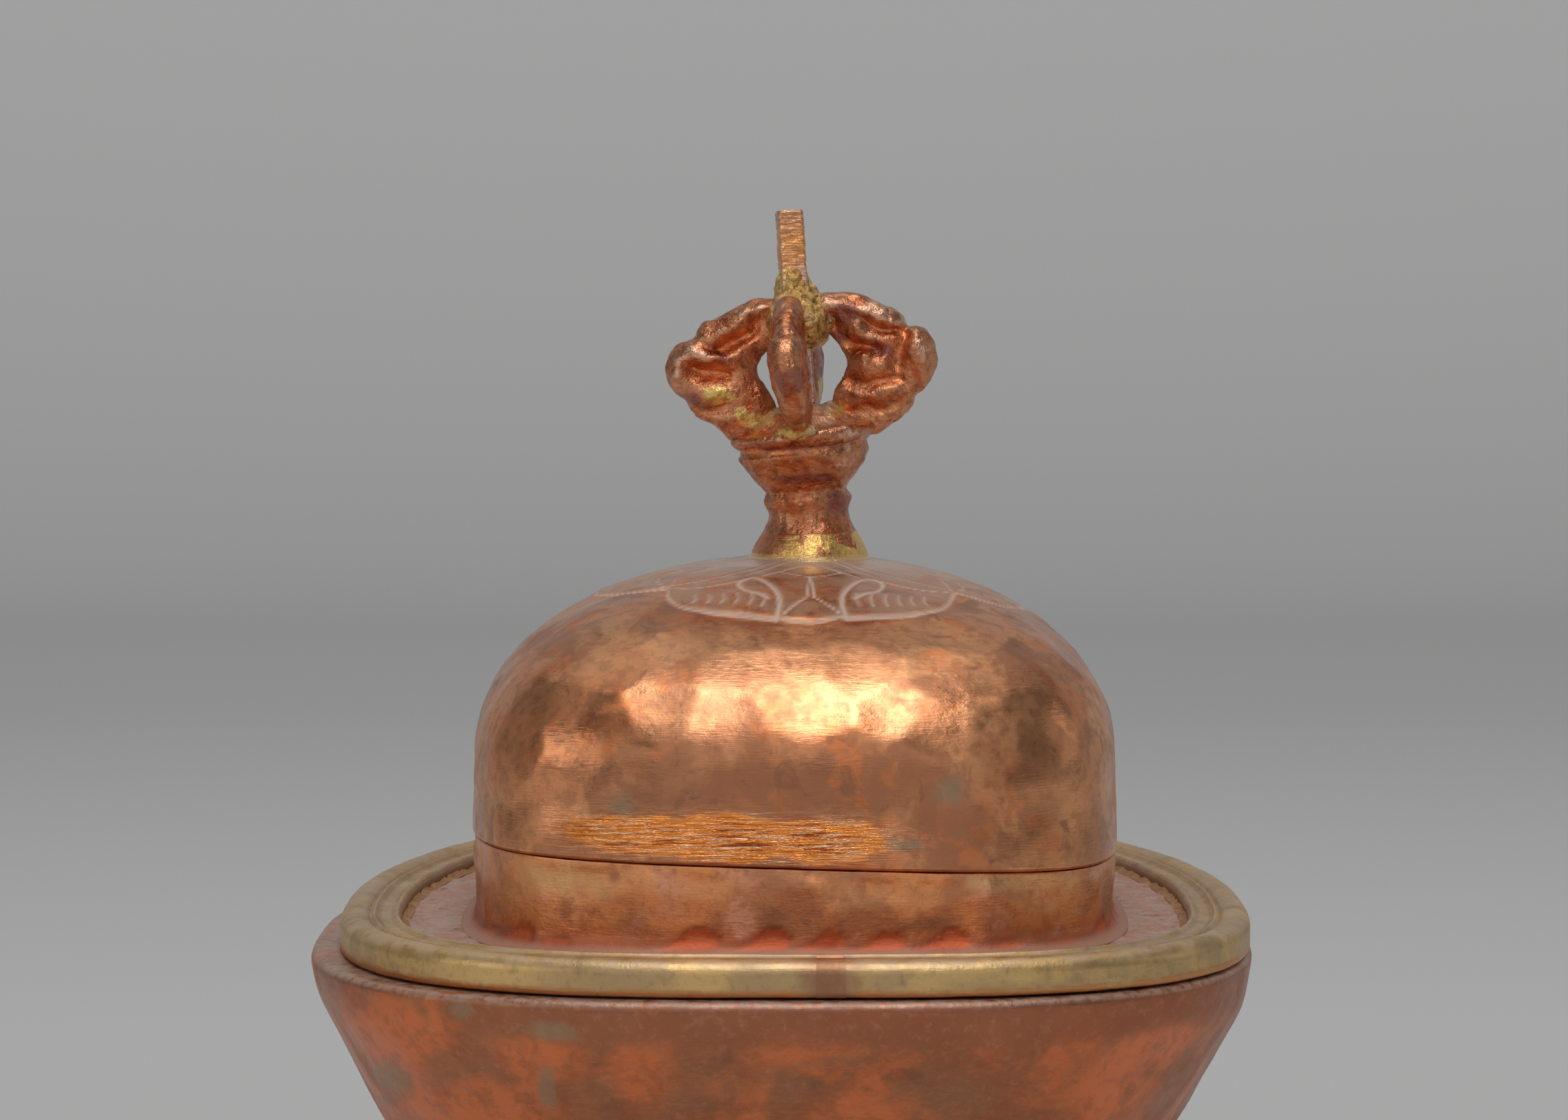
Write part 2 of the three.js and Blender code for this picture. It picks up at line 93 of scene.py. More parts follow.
flat = np.linspace(sweep_flat_start, sweep_bend_start, sweep_flat_steps)[:-1]
bend = np.linspace(0, sweep_lean, sweep_bend_steps)
bend_y = sweep_bend_start + sweep_bend_radius * np.sin(bend)
bend_z = sweep_bend_radius * (1 - np.cos(bend))
slope_end = (bend_y[-1] + sweep_slope_length * math.cos(sweep_lean),
             bend_z[-1] + sweep_slope_length * math.sin(sweep_lean))
sweep_section = np.vstack([[(sweep_front, 0)], np.stack([flat, 0 * flat], 1), np.stack([bend_y, bend_z], 1),
                           [slope_end]])
sweep_run = np.concatenate([[0], np.cumsum(np.hypot(*np.diff(sweep_section, axis=0).T))])
sweep_mesh = bpy.data.meshes.new("paper_sweep")
sweep_mesh.from_pydata([(side * sweep_half_width, y, z) for y, z in sweep_section for side in (-1, 1)], [],
                       [(2 * k, 2 * k + 1, 2 * k + 3, 2 * k + 2) for k in range(len(sweep_section) - 1)])
sweep_mesh.shade_smooth()
sweep_mesh.attributes.new("run", "FLOAT", "POINT").data.foreach_set("value", np.repeat(sweep_run, 2))
sweep = bpy.data.objects.new("paper_sweep", sweep_mesh)
bpy.context.collection.objects.link(sweep)

paper = bpy.data.materials.new("pale_paper")
paper.use_nodes = True
nodes, links = paper.node_tree.nodes, paper.node_tree.links
run_read = nodes.new("ShaderNodeAttribute")
run_read.attribute_name = "run"
run_share = nodes.new("ShaderNodeMath")
run_share.operation = "DIVIDE"
run_share.inputs[1].default_value = sweep_painted_light_tones[-1][0]
paper_ramp = nodes.new("ShaderNodeValToRGB")
stops = paper_ramp.color_ramp.elements
for number, (run, tone) in enumerate(sweep_painted_light_tones):
    stop = stops[number] if number < 2 else stops.new(run / sweep_painted_light_tones[-1][0])
    stop.position = run / sweep_painted_light_tones[-1][0]
    stop.color = (tone, tone, tone, 1)
links.new(run_read.outputs["Fac"], run_share.inputs[0])
links.new(run_share.outputs[0], paper_ramp.inputs[0])
links.new(paper_ramp.outputs[0], nodes["Principled BSDF"].inputs["Base Color"])
nodes["Principled BSDF"].inputs["Roughness"].default_value = sweep_roughness
sweep_mesh.materials.append(paper)


# The studio: even grey all round, a soft box overhead, one above the lens, a softer one at each side, and dim wide
# ones behind the first and in front. Each box has a place, a width and height, and a brightness.
studio_grey = (0.4, 0.4, 0.398, 1)
reflected_grey = (0.15, 0.15, 0.149, 1)
lamp_target = np.array([0.0, 0.0, 0.1])
soft_boxes = (
    ("overhead", (0.02, -0.32, 1.05), (0.3, 0.78), 4.4),
    ("above_lens", (0.05, -0.8, 0.9), (0.36, 0.4), 0.9),
    ("left_side", (-0.84, -0.6, 0.48), (0.6, 0.6), 0.95),
    ("right_side", (0.98, 0.05, 0.45), (0.5, 0.6), 0.45),
    ("ceiling", (0.0, 0.38, 1.12), (1.2, 0.7), 0.38),
    ("front_fill", (0.0, -1.9, 0.72), (2.0, 0.9), 0.55),
)

studio = bpy.data.worlds.new("studio")
studio.use_nodes = True
nodes, links = studio.node_tree.nodes, studio.node_tree.links
grey = nodes.new("ShaderNodeMix")
grey.data_type = "RGBA"
grey.inputs[6].default_value = studio_grey
grey.inputs[7].default_value = reflected_grey
links.new(nodes.new("ShaderNodeLightPath").outputs["Is Glossy Ray"], grey.inputs[0])
links.new(grey.outputs[2], nodes["Background"].inputs["Color"])
bpy.context.scene.world = studio
for name, place, (wide, high), brightness in soft_boxes:
    lamp = bpy.data.lights.new(name, "AREA")
    lamp.shape = "RECTANGLE"
    lamp.size = wide
    lamp.size_y = high
    lamp.energy = brightness * math.pi * wide * high
    holder = bpy.data.objects.new(name, lamp)
    holder.location = place
    holder.rotation_euler = Vector(lamp_target - np.array(place)).to_track_quat("-Z", "Y").to_euler()
    bpy.context.collection.objects.link(holder)


# The bowl: raised from one sheet of copper over a stake until it copies the top of a skull. Its lip is rolled, and a
# narrow ledge is turned in for the lid. The hammer's flats show on it, under brown and red oxide.
bowl_low, bowl_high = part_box("bowl_shell")
lip_half_width = (bowl_high.x - bowl_low.x) / 2
lip_half_length = (bowl_high.y - bowl_low.y) / 2
lip_top = bowl_high.z
widest_ahead = 17.95 * mm
front_power = 2.95
back_power = 1.9
bowl_wall = 1.5 * mm
bowl_power = 2.6
lip_round = 1.2 * mm
lip_band = 3.5 * mm
lip_bend_share = 0.93
ledge_width = 9 * mm
ledge_thickness = 1.8 * mm
bowl_columns = 640
bowl_outer_rows = 84
bowl_inner_rows = 30
bowl_blow_spacing = 12 * mm
bowl_flat_radius = 95 * mm
bowl_brown = (0.43, 0.155, 0.074)
bowl_red = (0.77, 0.225, 0.088)
bowl_olive = (0.42, 0.185, 0.095)
under_lip_brown = (0.4, 0.15, 0.078)
bowl_speck = (0.62, 0.3, 0.19)
oxide_dark = (0.26, 0.11, 0.065)
oxide_grey = (0.4, 0.27, 0.16)
lip_dust_and_highlight = (0.42, 0.29, 0.23)


def skin(name, rings, loop=False):
    """A mesh object from rings of points, each closed round, whose neighbours are joined by four-sided faces.

    A loop joins the last ring to the first, and otherwise both ends close with triangles to the ring's middle. The
    faces are turned round where the volume that they enclose comes out negative.
    """
    count, size = rings.shape[:2]
    points = rings.reshape(-1, 3)
    index = np.arange(count * size).reshape(count, size)
    low, high = (index, np.roll(index, -1, 0)) if loop else (index[:-1], index[1:])
    faces = [np.stack([low, np.roll(low, -1, 1), np.roll(high, -1, 1), high], -1).reshape(-1, 4)]
    for end in () if loop else (0, -1):
        edge = index[end][::-1 if end else 1]
        faces.append(np.stack([np.roll(edge, -1), edge, np.full(size, len(points))], -1))
        points = np.vstack([points, rings[end].mean(0)])
    volume = sum((points[face[:, 0]] * np.cross(points[face[:, last - 1]], points[face[:, last]])).sum()
                 for face in faces for last in range(2, face.shape[1]))
    corners = np.concatenate([face[:, ::-1 if volume < 0 else 1].ravel() for face in faces]).astype(np.int32)
    sizes = np.concatenate([np.full(len(face), face.shape[1]) for face in faces])
    mesh = bpy.data.meshes.new(name)
    mesh.vertices.add(len(points))
    mesh.vertices.foreach_set("co", points.astype(np.float32).ravel())
    mesh.loops.add(len(corners))
    mesh.loops.foreach_set("vertex_index", corners)
    mesh.polygons.add(len(sizes))
    mesh.polygons.foreach_set("loop_start", (np.cumsum(sizes) - sizes).astype(np.int32))
    mesh.update(calc_edges=True)
    mesh.shade_smooth()
    piece = bpy.data.objects.new(name, mesh)
    bpy.context.collection.objects.link(piece)
    return piece


def lip_outline(angle, inset=0.0):
    """The lip's outline seen from above, drawn in by an inset.

    Each half is a superellipse about the widest plane: the radius is the sum of (|cos| / half width) ** power and
    (|sin| / reach) ** power, all to the power of -1 / power. The inset moves a point in along the curve's normal.
    """
    across, along = np.cos(angle), np.sin(angle)
    reach = np.where(along < 0, lip_half_length - widest_ahead, lip_half_length + widest_ahead)
    power = np.where(along < 0, front_power, back_power)
    total = (np.abs(across) / lip_half_width) ** power + (np.abs(along) / reach) ** power
    x, y = across * total ** (-1 / power), along * total ** (-1 / power)
    slope_x = np.sign(x) * (np.abs(x) / lip_half_width) ** (power - 1) / lip_half_width
    slope_y = np.sign(y) * (np.abs(y) / reach) ** (power - 1) / reach
    slope = np.hypot(slope_x, slope_y)
    return x - inset * slope_x / slope, y - inset * slope_y / slope - widest_ahead


def even_angles(count, start=0.0, stop=turn, ends=False):
    """Angles between two limits that step evenly along the lip's outline, by inverting its summed length."""
    fine = np.linspace(start, stop, 20 * count)
    x, y = lip_outline(fine)
    run = np.concatenate([[0], np.cumsum(np.hypot(np.diff(x), np.diff(y)))])
    return np.interp(np.linspace(0, run[-1], count, endpoint=ends), run, fine)


def rows(inset, share, height):
    """Rows of a section from an inset, a share of what is left and a height, each one number or many."""
    return np.stack(np.broadcast_arrays(inset, share, height), 1)


def round_the_plan(section, angles):
    """Rings of a section's rows carried round the plan: the outline, drawn in by the inset, times the share."""
    inset, share, height = section.T[..., None]
    x, y = lip_outline(angles[None, :], inset)
    return np.stack([x * share, y * share, height + 0 * x], -1)


def raised(rings, height, loop=False):
    """The rings moved out by a height along their unit normals: the cross product of their differences along and
    across, with the sign that makes the volume inside positive."""
    along = (np.roll(rings, -1, 0) - np.roll(rings, 1, 0)) if loop else np.gradient(rings, axis=0)
    normal = np.cross(np.roll(rings, -1, 1) - np.roll(rings, 1, 1), along)
    unit = normal / (np.linalg.norm(normal, axis=-1, keepdims=True) + 1e-12)
    return rings + np.sign((normal * rings).sum()) * height[..., None] * unit


def grain(points, size, seed):
    """A smooth random field between -1 and 1: random values at the corners of a repeating lattice of cubes of the
    given size, blended by smoothstep weights."""
    lattice = np.random.default_rng(seed).uniform(-1, 1, (32, 32, 32))
    cell = np.floor(points / size).astype(int)
    part = points / size - cell
    part = part * part * (3 - 2 * part)
    total = np.zeros(points.shape[:-1])
    for corner in np.ndindex(2, 2, 2):
        weight = np.prod(np.where(corner, part, 1 - part), axis=-1)
        i, j, k = np.moveaxis((cell + corner) % 32, -1, 0)
        total += weight * lattice[i, j, k]
    return total


def bumps(points, *fields):
    """The sum of grain fields, each with a height in mm, a size in mm and a seed."""
    return sum(height * mm * grain(points, size * mm, seed) for height, size, seed in fields)


def blow_places(rings, spacing, seed):
    """Where the hammer fell: rows a spacing apart along the section, each with blows a spacing apart round it, all
    moved at random by up to two fifths of the spacing."""
    shake = np.random.default_rng(seed)
    run = np.concatenate([[0], np.cumsum(np.linalg.norm(np.diff(rings, axis=0), axis=-1).mean(1))])
    places = []
    for stop in np.arange(min(spacing, run[-1]) / 2, run[-1], spacing):
        ring = rings[np.searchsorted(run, stop).clip(0, len(rings) - 1)]
        count = max(1, round(np.linalg.norm(ring - np.roll(ring, 1, 0), axis=-1).sum() / spacing))
        steps = (np.arange(count) + shake.uniform(-0.4, 0.4, count) + shake.uniform()) / count
        levels = np.searchsorted(run, stop + spacing * shake.uniform(-0.4, 0.4, count)).clip(0, len(rings) - 1)
        places.append(rings[levels, (steps * len(ring)).astype(int) % len(ring)])
    return np.vstack(places)


def hammered(rings, blows, flat_radius, uneven, softness, seed):
    """Height of a planished skin over the smooth one. Each blow leaves a flat, which over a skin that curves away
    rises as distance squared over twice the flat's radius, from its own random depth. The skin is the lowest of
    all the flats, with soft edges: -softness * log(sum(exp(-flat / softness))), less its mean."""
    depth = np.random.default_rng(seed).uniform(0, uneven, len(blows))
    height = np.empty(rings.shape[:2])
    for row, ring in enumerate(rings):
        square = ((ring[:, None, :] - blows[None, :, :]) ** 2).sum(-1)
        height[row] = -softness * np.log(np.exp(-(square / (2 * flat_radius) - depth) / softness).sum(1) + 1e-30)
    return height - height.mean()


def ease(value, low, high):
    """0 at low and before it, 1 at high and past it, and the smoothstep cubic between. Low may be the larger."""
    share = np.clip((value - low) / (high - low), 0, 1)
    return share * share * (3 - 2 * share)


def fade(length, low, high):
    """ease() of a length between two limits in mm."""
    return ease(length, low * mm, high * mm)


def spots(points, *places):
    """Soft-edged spots on the cup's front: exp of minus the squared distances from each place, as shares of its
    half width and half height, and nothing on the back. A place is x, z, half width, half height, in mm."""
    found = np.zeros(points.shape[:-1])
    for x, z, wide, high in places:
        far = ((points[..., 0] / mm - x) / wide) ** 2 + ((points[..., 2] / mm - z) / high) ** 2
        found = np.maximum(found, np.exp(-far))
    return found * (points[..., 1] < 0)


def mark(piece, **masks):
    """Keeps each mask's number at each point of a piece, for its finish to read. The middles of its ends get 0."""
    for name, values in masks.items():
        kept = np.zeros(len(piece.data.vertices), np.float32)
        kept[:values.size] = values.ravel()
        piece.data.attributes.new(name, "FLOAT", "POINT").data.foreach_set("value", kept)


class Finish:
    """One metal's surface, read from object coordinates. It starts as bare metal of one colour and roughness.

    Each layer takes a goal and its masks, whose product says where it lies. "tint" blends the colour towards the
    goal, "polish" the roughness and "cover" the share of bare metal, and "rise" adds the goal in mm to the height. A
    mask is a number, the name of a mark on the piece's points, a cloud() or a broken().
    """

    def __init__(self, name, colour, roughness, *layers):
        self.material = bpy.data.materials.new(name)
        self.material.use_nodes = True
        self.tree = self.material.node_tree
        self.place = self.node("ShaderNodeTexCoord").outputs["Object"]
        state = {"tint": colour, "polish": roughness, "cover": 1.0, "rise": 0.0}
        for kind, goal, *masks in layers:
            total = self.read(masks[0])
            for mask in masks[1:]:
                total = self.sum_up("MULTIPLY", total, self.read(mask))
            if kind == "rise":
                state[kind] = self.sum_up("MULTIPLY_ADD", total, goal, state[kind])
            elif kind == "tint":
                mix = self.node("ShaderNodeMix", {0: total, 6: state[kind], 7: goal}, data_type="RGBA")
                state[kind] = mix.outputs[2]
            else:
                state[kind] = self.node("ShaderNodeMix", {0: total, 2: state[kind], 3: goal}).outputs[0]
        bump = self.node("ShaderNodeBump", {"Strength": 1.0, "Distance": mm, "Height": state["rise"]}).outputs[0]
        shader = self.tree.nodes["Principled BSDF"]
        for socket, value in (("Base Color", state["tint"]), ("Roughness", state["polish"]),
                              ("Metallic", state["cover"]), ("Normal", bump)):
            self.feed(shader.inputs[socket], value)

    def node(self, kind, inputs=None, **settings):
        made = self.tree.nodes.new(kind)
        for key, value in settings.items():
            setattr(made, key, value)
        for key, value in (inputs or {}).items():
            self.feed(made.inputs[key], value)
        return made

    def feed(self, socket, value):
        if isinstance(value, bpy.types.NodeSocket):
            self.tree.links.new(value, socket)
        elif isinstance(value, tuple) and socket.type == "RGBA":
            socket.default_value = (*value, 1)
        else:
            socket.default_value = value

    def sum_up(self, operation, *values):
        return self.node("ShaderNodeMath", dict(enumerate(values)), operation=operation).outputs[0]

    def read(self, mask):
        if isinstance(mask, str):
            return self.node("ShaderNodeAttribute", attribute_name=mask).outputs["Fac"]
        return mask(self) if callable(mask) else mask

    def noise(self, offset, scale, **inputs):
        """Fractal noise over object coordinates, moved by an offset along each axis and scaled."""
        moved = self.node("ShaderNodeMapping", {"Vector": self.place, "Location": (offset,) * 3, "Scale": scale})
        return self.node("ShaderNodeTexNoise", {"Vector": moved.outputs[0], "Scale": 1, **inputs}).outputs[0]

    def between(self, value, low, high):
        """0 at low, 1 at high, with a smooth step between them."""
        step = {"Value": value, "From Min": low, "From Max": high}
        return self.node("ShaderNodeMapRange", step, interpolation_type="SMOOTHSTEP").outputs[0]


def cloud(size, low, high, seed, detail=4, warp=0.0, stretch=1):
    """A mask of noise with a grain of so many mm, longer along X and Y by its stretch. It starts where the noise
    passes low and is full where it passes high."""
    scale = (1 / (size * mm * stretch), 1 / (size * mm * stretch), 1 / (size * mm))
    return lambda finish: finish.between(
        finish.noise(seed * 3.7, scale, Detail=detail, Roughness=0.6, Distortion=warp), low, high)


def broken(name, size, seed, low, high):
    """A mark whose soft edge is broken up by noise of so many mm: it shows where mark plus noise passes a limit."""
    def mask(finish):
        lift = finish.sum_up("SUBTRACT", finish.noise(seed * 2.3, (1 / (size * mm),) * 3, Detail=5), 0.5)
        return finish.between(finish.sum_up("ADD", lift, finish.read(name)), low, high)
    return mask


def fit(piece, finish, body, node):
    """Puts a finish on a piece, and lets it ride its body and stand for its node of the solids."""
    piece.data.materials.clear()
    piece.data.materials.append(finish.material)
    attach(piece, body)
    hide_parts(node)


def arc_shares(count, start=0.0):
    """Sine and cosine of even angles over a quarter turn, from a start share of it."""
    angle = np.linspace(start, 1, count) * turn / 4
    return np.sin(angle), np.cos(angle)


def bowl_height(share, bottom):
    """The skin rises from a low point as a power of how far out it is."""
    return bottom + (lip_top - lip_band - bowl_low.z) * share ** bowl_power


def curve(first, middle, last, share):
    """A quadratic curve: (1 - share)**2 of the first, 2 * share * (1 - share) of the middle, share**2 of the last."""
    return (1 - share) ** 2 * first + 2 * share * (1 - share) * middle + share ** 2 * last


outer_share = arc_shares(bowl_outer_rows, 0.01)[0]
outer_share = outer_share[outer_share < lip_bend_share]
inner_share = arc_shares(bowl_inner_rows, 0.01)[0][::-1]
lip_sine, lip_cosine = arc_shares(7)
bend = np.linspace(0, 1, 16)
bend_height = curve(bowl_height(lip_bend_share, bowl_low.z), lip_top - lip_band, lip_top - lip_round, bend)
ledge_under = lip_top - ledge_thickness
bowl_section = np.vstack([
    rows(0, outer_share, bowl_height(outer_share, bowl_low.z)),
    rows(0, curve(lip_bend_share, 1, 1, bend), bend_height),
    rows(lip_round * (1 - lip_cosine), 1, lip_top - lip_round * (1 - lip_sine))[1:],
    rows(lip_round + (ledge_width - lip_round) * np.linspace(0, 1, 12)[1:], 1, lip_top),
    [(ledge_width, 1, lip_top - ledge_thickness / 2), (ledge_width, 1, ledge_under),
     ((ledge_width + bowl_wall) / 2, 1, ledge_under), (bowl_wall, 1, ledge_under)],
    rows(bowl_wall, inner_share, bowl_height(inner_share, bowl_low.z + bowl_wall)),
])
bowl_rings = round_the_plan(bowl_section, even_angles(bowl_columns))
bowl_is_outside = (np.arange(len(bowl_section)) < len(outer_share) + len(bend))[:, None]
bowl_blows = blow_places(bowl_rings[:len(outer_share)], bowl_blow_spacing, 11)
bowl_dents = hammered(bowl_rings, bowl_blows, bowl_flat_radius, 0.1 * mm, 0.035 * mm, 12)
bowl_dents *= fade(lip_top - bowl_rings[..., 2], 1.5, 9) * np.where(bowl_is_outside, 1, 0.7)
bowl_dents += bumps(bowl_rings, (0.12, 22, 13)) * bowl_is_outside + bumps(bowl_rings, (0.04, 2.2, 14))
bowl = skin("raised_bowl", raised(bowl_rings, bowl_dents))
bowl_down = lip_top - bowl_rings[..., 2]
# The dust mark along the lip's top edge is dust and also a painted highlight: a pale line where the rounded lip
# catches the light.
mark(bowl, dust=fade(bowl_down, 1.1, 0.3), brown=fade(bowl_down, 9, 3) * fade(bowl_rings[..., 0], -48, -24),
     red=spots(bowl_rings, (-50.9, 64.7, 9, 6), (-31.3, 64.2, 7, 3.5), (-18.2, 62.8, 5, 5), (49.5, 64.3, 7, 3),
               (43.2, 58, 6, 7), (2.6, 66.3, 9, 2.5), (-40, 54, 12, 6), (10, 56, 7, 3)),
     grey=spots(bowl_rings, (-41.7, 70, 2.4, 1.6), (-29.9, 68, 5, 1.6), (-30.4, 59.8, 1.8, 4.5), (-52, 58, 4, 3)))

lip_dust_and_highlight_film = ("dust", cloud(1.4, 0.25, 0.6, 100, 7))
bowl_copper = Finish(
    "oxidised_bowl_copper", bowl_brown, 0.36,
    ("tint", bowl_olive, cloud(15, 0.42, 0.62, 1, 6, 0.8)),
    ("tint", bowl_red, cloud(12, 0.46, 0.64, 2, 7, 0.6), 0.85),
    ("tint", bowl_red, broken("red", 5, 3, 0.1, 0.75)),
    ("tint", bowl_brown, cloud(3, 0.48, 0.62, 9, 8), 0.5),
    ("tint", oxide_dark, cloud(6, 0.5, 0.72, 4, 8), 0.5),
    ("tint", under_lip_brown, broken("brown", 7, 101, 0.2, 0.9), 0.8),
    ("tint", oxide_grey, broken("grey", 3, 5, 0.3, 0.9), 0.7),
    ("tint", bowl_speck, cloud(1.2, 0.5, 0.7, 10, 6), 0.3),
    ("polish", 0.5, cloud(9, 0.42, 0.62, 6, 7)),
    ("polish", 0.34, "red"),
    # Dust, and a painted highlight along the rounded top edge of the lip.
    ("tint", lip_dust_and_highlight, *lip_dust_and_highlight_film, 0.85),
    ("cover", 0.2, *lip_dust_and_highlight_film, 0.7),
    ("rise", 0.04, cloud(1.1, 0.3, 0.8, 7, 6)),
    ("rise", 0.015, cloud(0.4, 0.3, 0.8, 8, 4, 0, 6)))
fit(bowl, bowl_copper, "bowl", "bowl_shell")


# The foot ring: a copper strip bent to an oval and flared, soldered under the bowl, which is round below.
foot_low, foot_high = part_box("foot_ring")
foot_bottom_half = (foot_high.x - foot_low.x) / 2
foot_flare = 2.4 * mm
foot_wall = 2.6 * mm
foot_columns = 320


def eased(corners, radius, steps=5):
    """A closed outline with every corner rounded: a quadratic curve between the points that lie the radius away
    from the corner along its two sides, or less where a side is short."""
    corners = np.asarray(corners, float)

    def towards(others):
        step = others - corners
        length = np.linalg.norm(step, axis=1, keepdims=True)
        return (corners + step / length * np.minimum(radius, 0.45 * length))[:, None]

    share = np.linspace(0, 1, steps + 1)[None, :, None]
    start, stop = towards(np.roll(corners, 1, 0)), towards(np.roll(corners, -1, 0))
    return curve(start, corners[:, None], stop, share).reshape(-1, 2)


def divided(outline, longest):
    """The same closed outline with points added, so that no stretch is longer than the given length."""
    parts = [start + (stop - start) * np.linspace(0, 1, max(1, math.ceil(np.linalg.norm(stop - start) / longest)),
                                                  endpoint=False)[:, None]
             for start, stop in zip(outline, np.roll(outline, -1, 0))]
    return np.vstack(parts)


foot_top_half = foot_bottom_half - foot_flare
foot_seat = [bowl_height(half / lip_half_width, bowl_low.z) - 0.3 * mm
             for half in (foot_top_half - foot_wall, foot_top_half)]
foot_outline = divided(eased([
    (foot_bottom_half, 0), (foot_top_half, foot_seat[0]), (foot_top_half, foot_seat[1]),
    (foot_top_half - foot_wall, foot_seat[0]), (foot_bottom_half - foot_wall, 0)], 0.5 * mm), 1 * mm)
foot_section = rows(0, foot_outline[:, 0] / lip_half_width, foot_outline[:, 1])
foot_rings = round_the_plan(foot_section, even_angles(foot_columns))
foot_rings = raised(foot_rings, bumps(foot_rings, (0.08, 6, 21)) * fade(foot_rings[..., 2], 0, 2), loop=True)
foot = skin("oval_foot_ring", foot_rings, loop=True)
foot_up = foot_rings[..., 2]
mark(foot, dust=0 * foot_up, red=0 * foot_up, brown=0 * foot_up + 0.5, grey=0.4 * fade(foot_up, 3, 5))
fit(foot, bowl_copper, "bowl", "foot_ring")


# The rim: a brass moulding drawn with a rounded edge and two thin beads, bent round the lid and butted at the front,
# where brown brazing metal fills the joint. Handling has worn it olive, and the grooves hold dust, which is painted
# dark as shade in the grooves and along the inner edge.
lid_middle = (rim_low.x + rim_high.x) / 2
rim_inset = lip_half_width - (rim_high.x - rim_low.x) / 2
rim_width = 8.6 * mm
rim_height = rim_high.z - rim_low.z
rim_rebate = 4.2 * mm
plate_low, plate_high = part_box("flange_plate")
plate_top = plate_high.z
torus_half = 2.3 * mm
torus_rise = 1.95 * mm
rim_flat_height = 3.98 * mm
bead_places = (4.8 * mm, 7.95 * mm)
bead_half = 0.36 * mm
bead_height = 0.5 * mm
groove_places = (4.15 * mm, 5.5 * mm, 7.3 * mm)
groove_half = 0.3 * mm
joint_offset = 4.4 * mm
joint_width = 3.4 * mm
joint_lap = 0.15 * mm
joint_proud = 0.03 * mm
rim_columns = 820
rim_olive = (0.58, 0.395, 0.2)
rim_yellow = (0.78, 0.52, 0.22)
rim_brown = (0.42, 0.22, 0.12)
rim_shade = (0.42, 0.3, 0.17)
rim_copper = (0.62, 0.3, 0.12)
rim_dark = (0.36, 0.26, 0.16)
groove_dust_and_shade = (0.24, 0.16, 0.11)
rim_dust = (0.5, 0.37, 0.29)
joint_brown = (0.4, 0.2, 0.11)
joint_light = (0.48, 0.27, 0.14)
joint_dark = (0.36, 0.2, 0.11)


def hump(value, middle, width):
    """exp of minus the squared distance from the middle, as a share of the width."""
    return np.exp(-((value - middle) / width) ** 2)


def rim_outline():
    """The moulding's section, as insets from its outer edge and heights. Its top is the higher of a half ellipse
    and a flat, with two beads on it that follow exp of minus the squared distance as a share of their half width."""
    across = np.concatenate([torus_half * (1 - np.cos(np.linspace(0, 1, 16) * turn / 4)),
                             np.linspace(torus_half, rim_width, 64)[1:]])
    edge = rim_height - torus_rise
    ellipse = edge + torus_rise * np.sqrt(np.clip(1 - ((across - torus_half) / torus_half) ** 2, 0, 1))
    top = np.where(across > torus_half, np.maximum(ellipse, rim_flat_height), ellipse)
    for place in bead_places:
        top = top + bead_height * hump(across, place, bead_half)
    top -= ease(across, rim_width - 0.35 * mm, rim_width) * 0.3 * mm
    rebate = plate_top - rim_low.z + 0.05 * mm
    under = [(rim_width, rebate), (rim_rebate, rebate), (rim_rebate, 0), (0.25 * mm, 0), (0, 0.25 * mm)]
    return divided(np.vstack([np.stack([across, top], 1), under]), 0.7 * mm)


def rim_rail(start, stop, columns):
    """The moulding's section carried along the plan between two offsets from its front's middle, as one ring for
    each angle. A ring close to each end keeps the shading of the end face to itself."""
    outline = rim_outline()
    section = rows(rim_inset + outline[:, 0], 1, rim_low.z + outline[:, 1])
    start, stop = (-turn / 4 + math.atan(offset / (lip_half_length - widest_ahead - rim_inset))
                   for offset in (start, stop))
    angles = even_angles(columns, start, stop if stop > start else stop + turn, ends=True)
    rings = np.swapaxes(round_the_plan(section, angles), 0, 1)
    first, last = 0.95 * rings[:1] + 0.05 * rings[1:2], 0.95 * rings[-1:] + 0.05 * rings[-2:-1]
    return np.concatenate([rings[:1], first, rings[1:-1], last, rings[-1:]]) + (lid_middle, 0, 0)


rim_rings = rim_rail(joint_offset + joint_width / 2, joint_offset - joint_width / 2, rim_columns)
rim_wear = bumps(rim_rings, (0.05, 3, 31), (0.06, 14, 32), (0.012, 0.8, 33))
rim = skin("brass_rim_moulding", raised(rim_rings, rim_wear))
rim_across = np.tile(rim_outline()[:, 0], (len(rim_rings), 1))
rim_up = rim_rings[..., 2] - rim_low.z
grooves = sum(hump(rim_across, place, groove_half) for place in groove_places) + fade(rim_across, 8.3, 8.6)
# The dust mark is dust and painted shade: dark in the grooves and along the inner edge, where shade falls.
mark(rim, dust=np.clip(np.clip(grooves, 0, 1) * fade(rim_up, 3.3, 3.8) + fade(rim_across, 8.3, 8.5), 0, 1),
     under=fade(rim_up, 1.7, 0.5), settled=fade(rim_up, 3.3, 4.3),
     yellow=np.maximum(spots(rim_rings, (-42, 76, 16, 5), (-10, 76, 5, 6), (30, 76, 12, 3)),
                       0.4 * (rim_rings[..., 1] > 0)),
     dark=0.6 * spots(rim_rings, (-50.8, 73.8, 2, 1.3), (-26.3, 76.3, 1, 2), (34.7, 75.3, 1.3, 2.5)),
     stain=1.3 * spots(rim_rings, ((lid_middle + joint_offset) / mm, 76, 4.6, 12)))

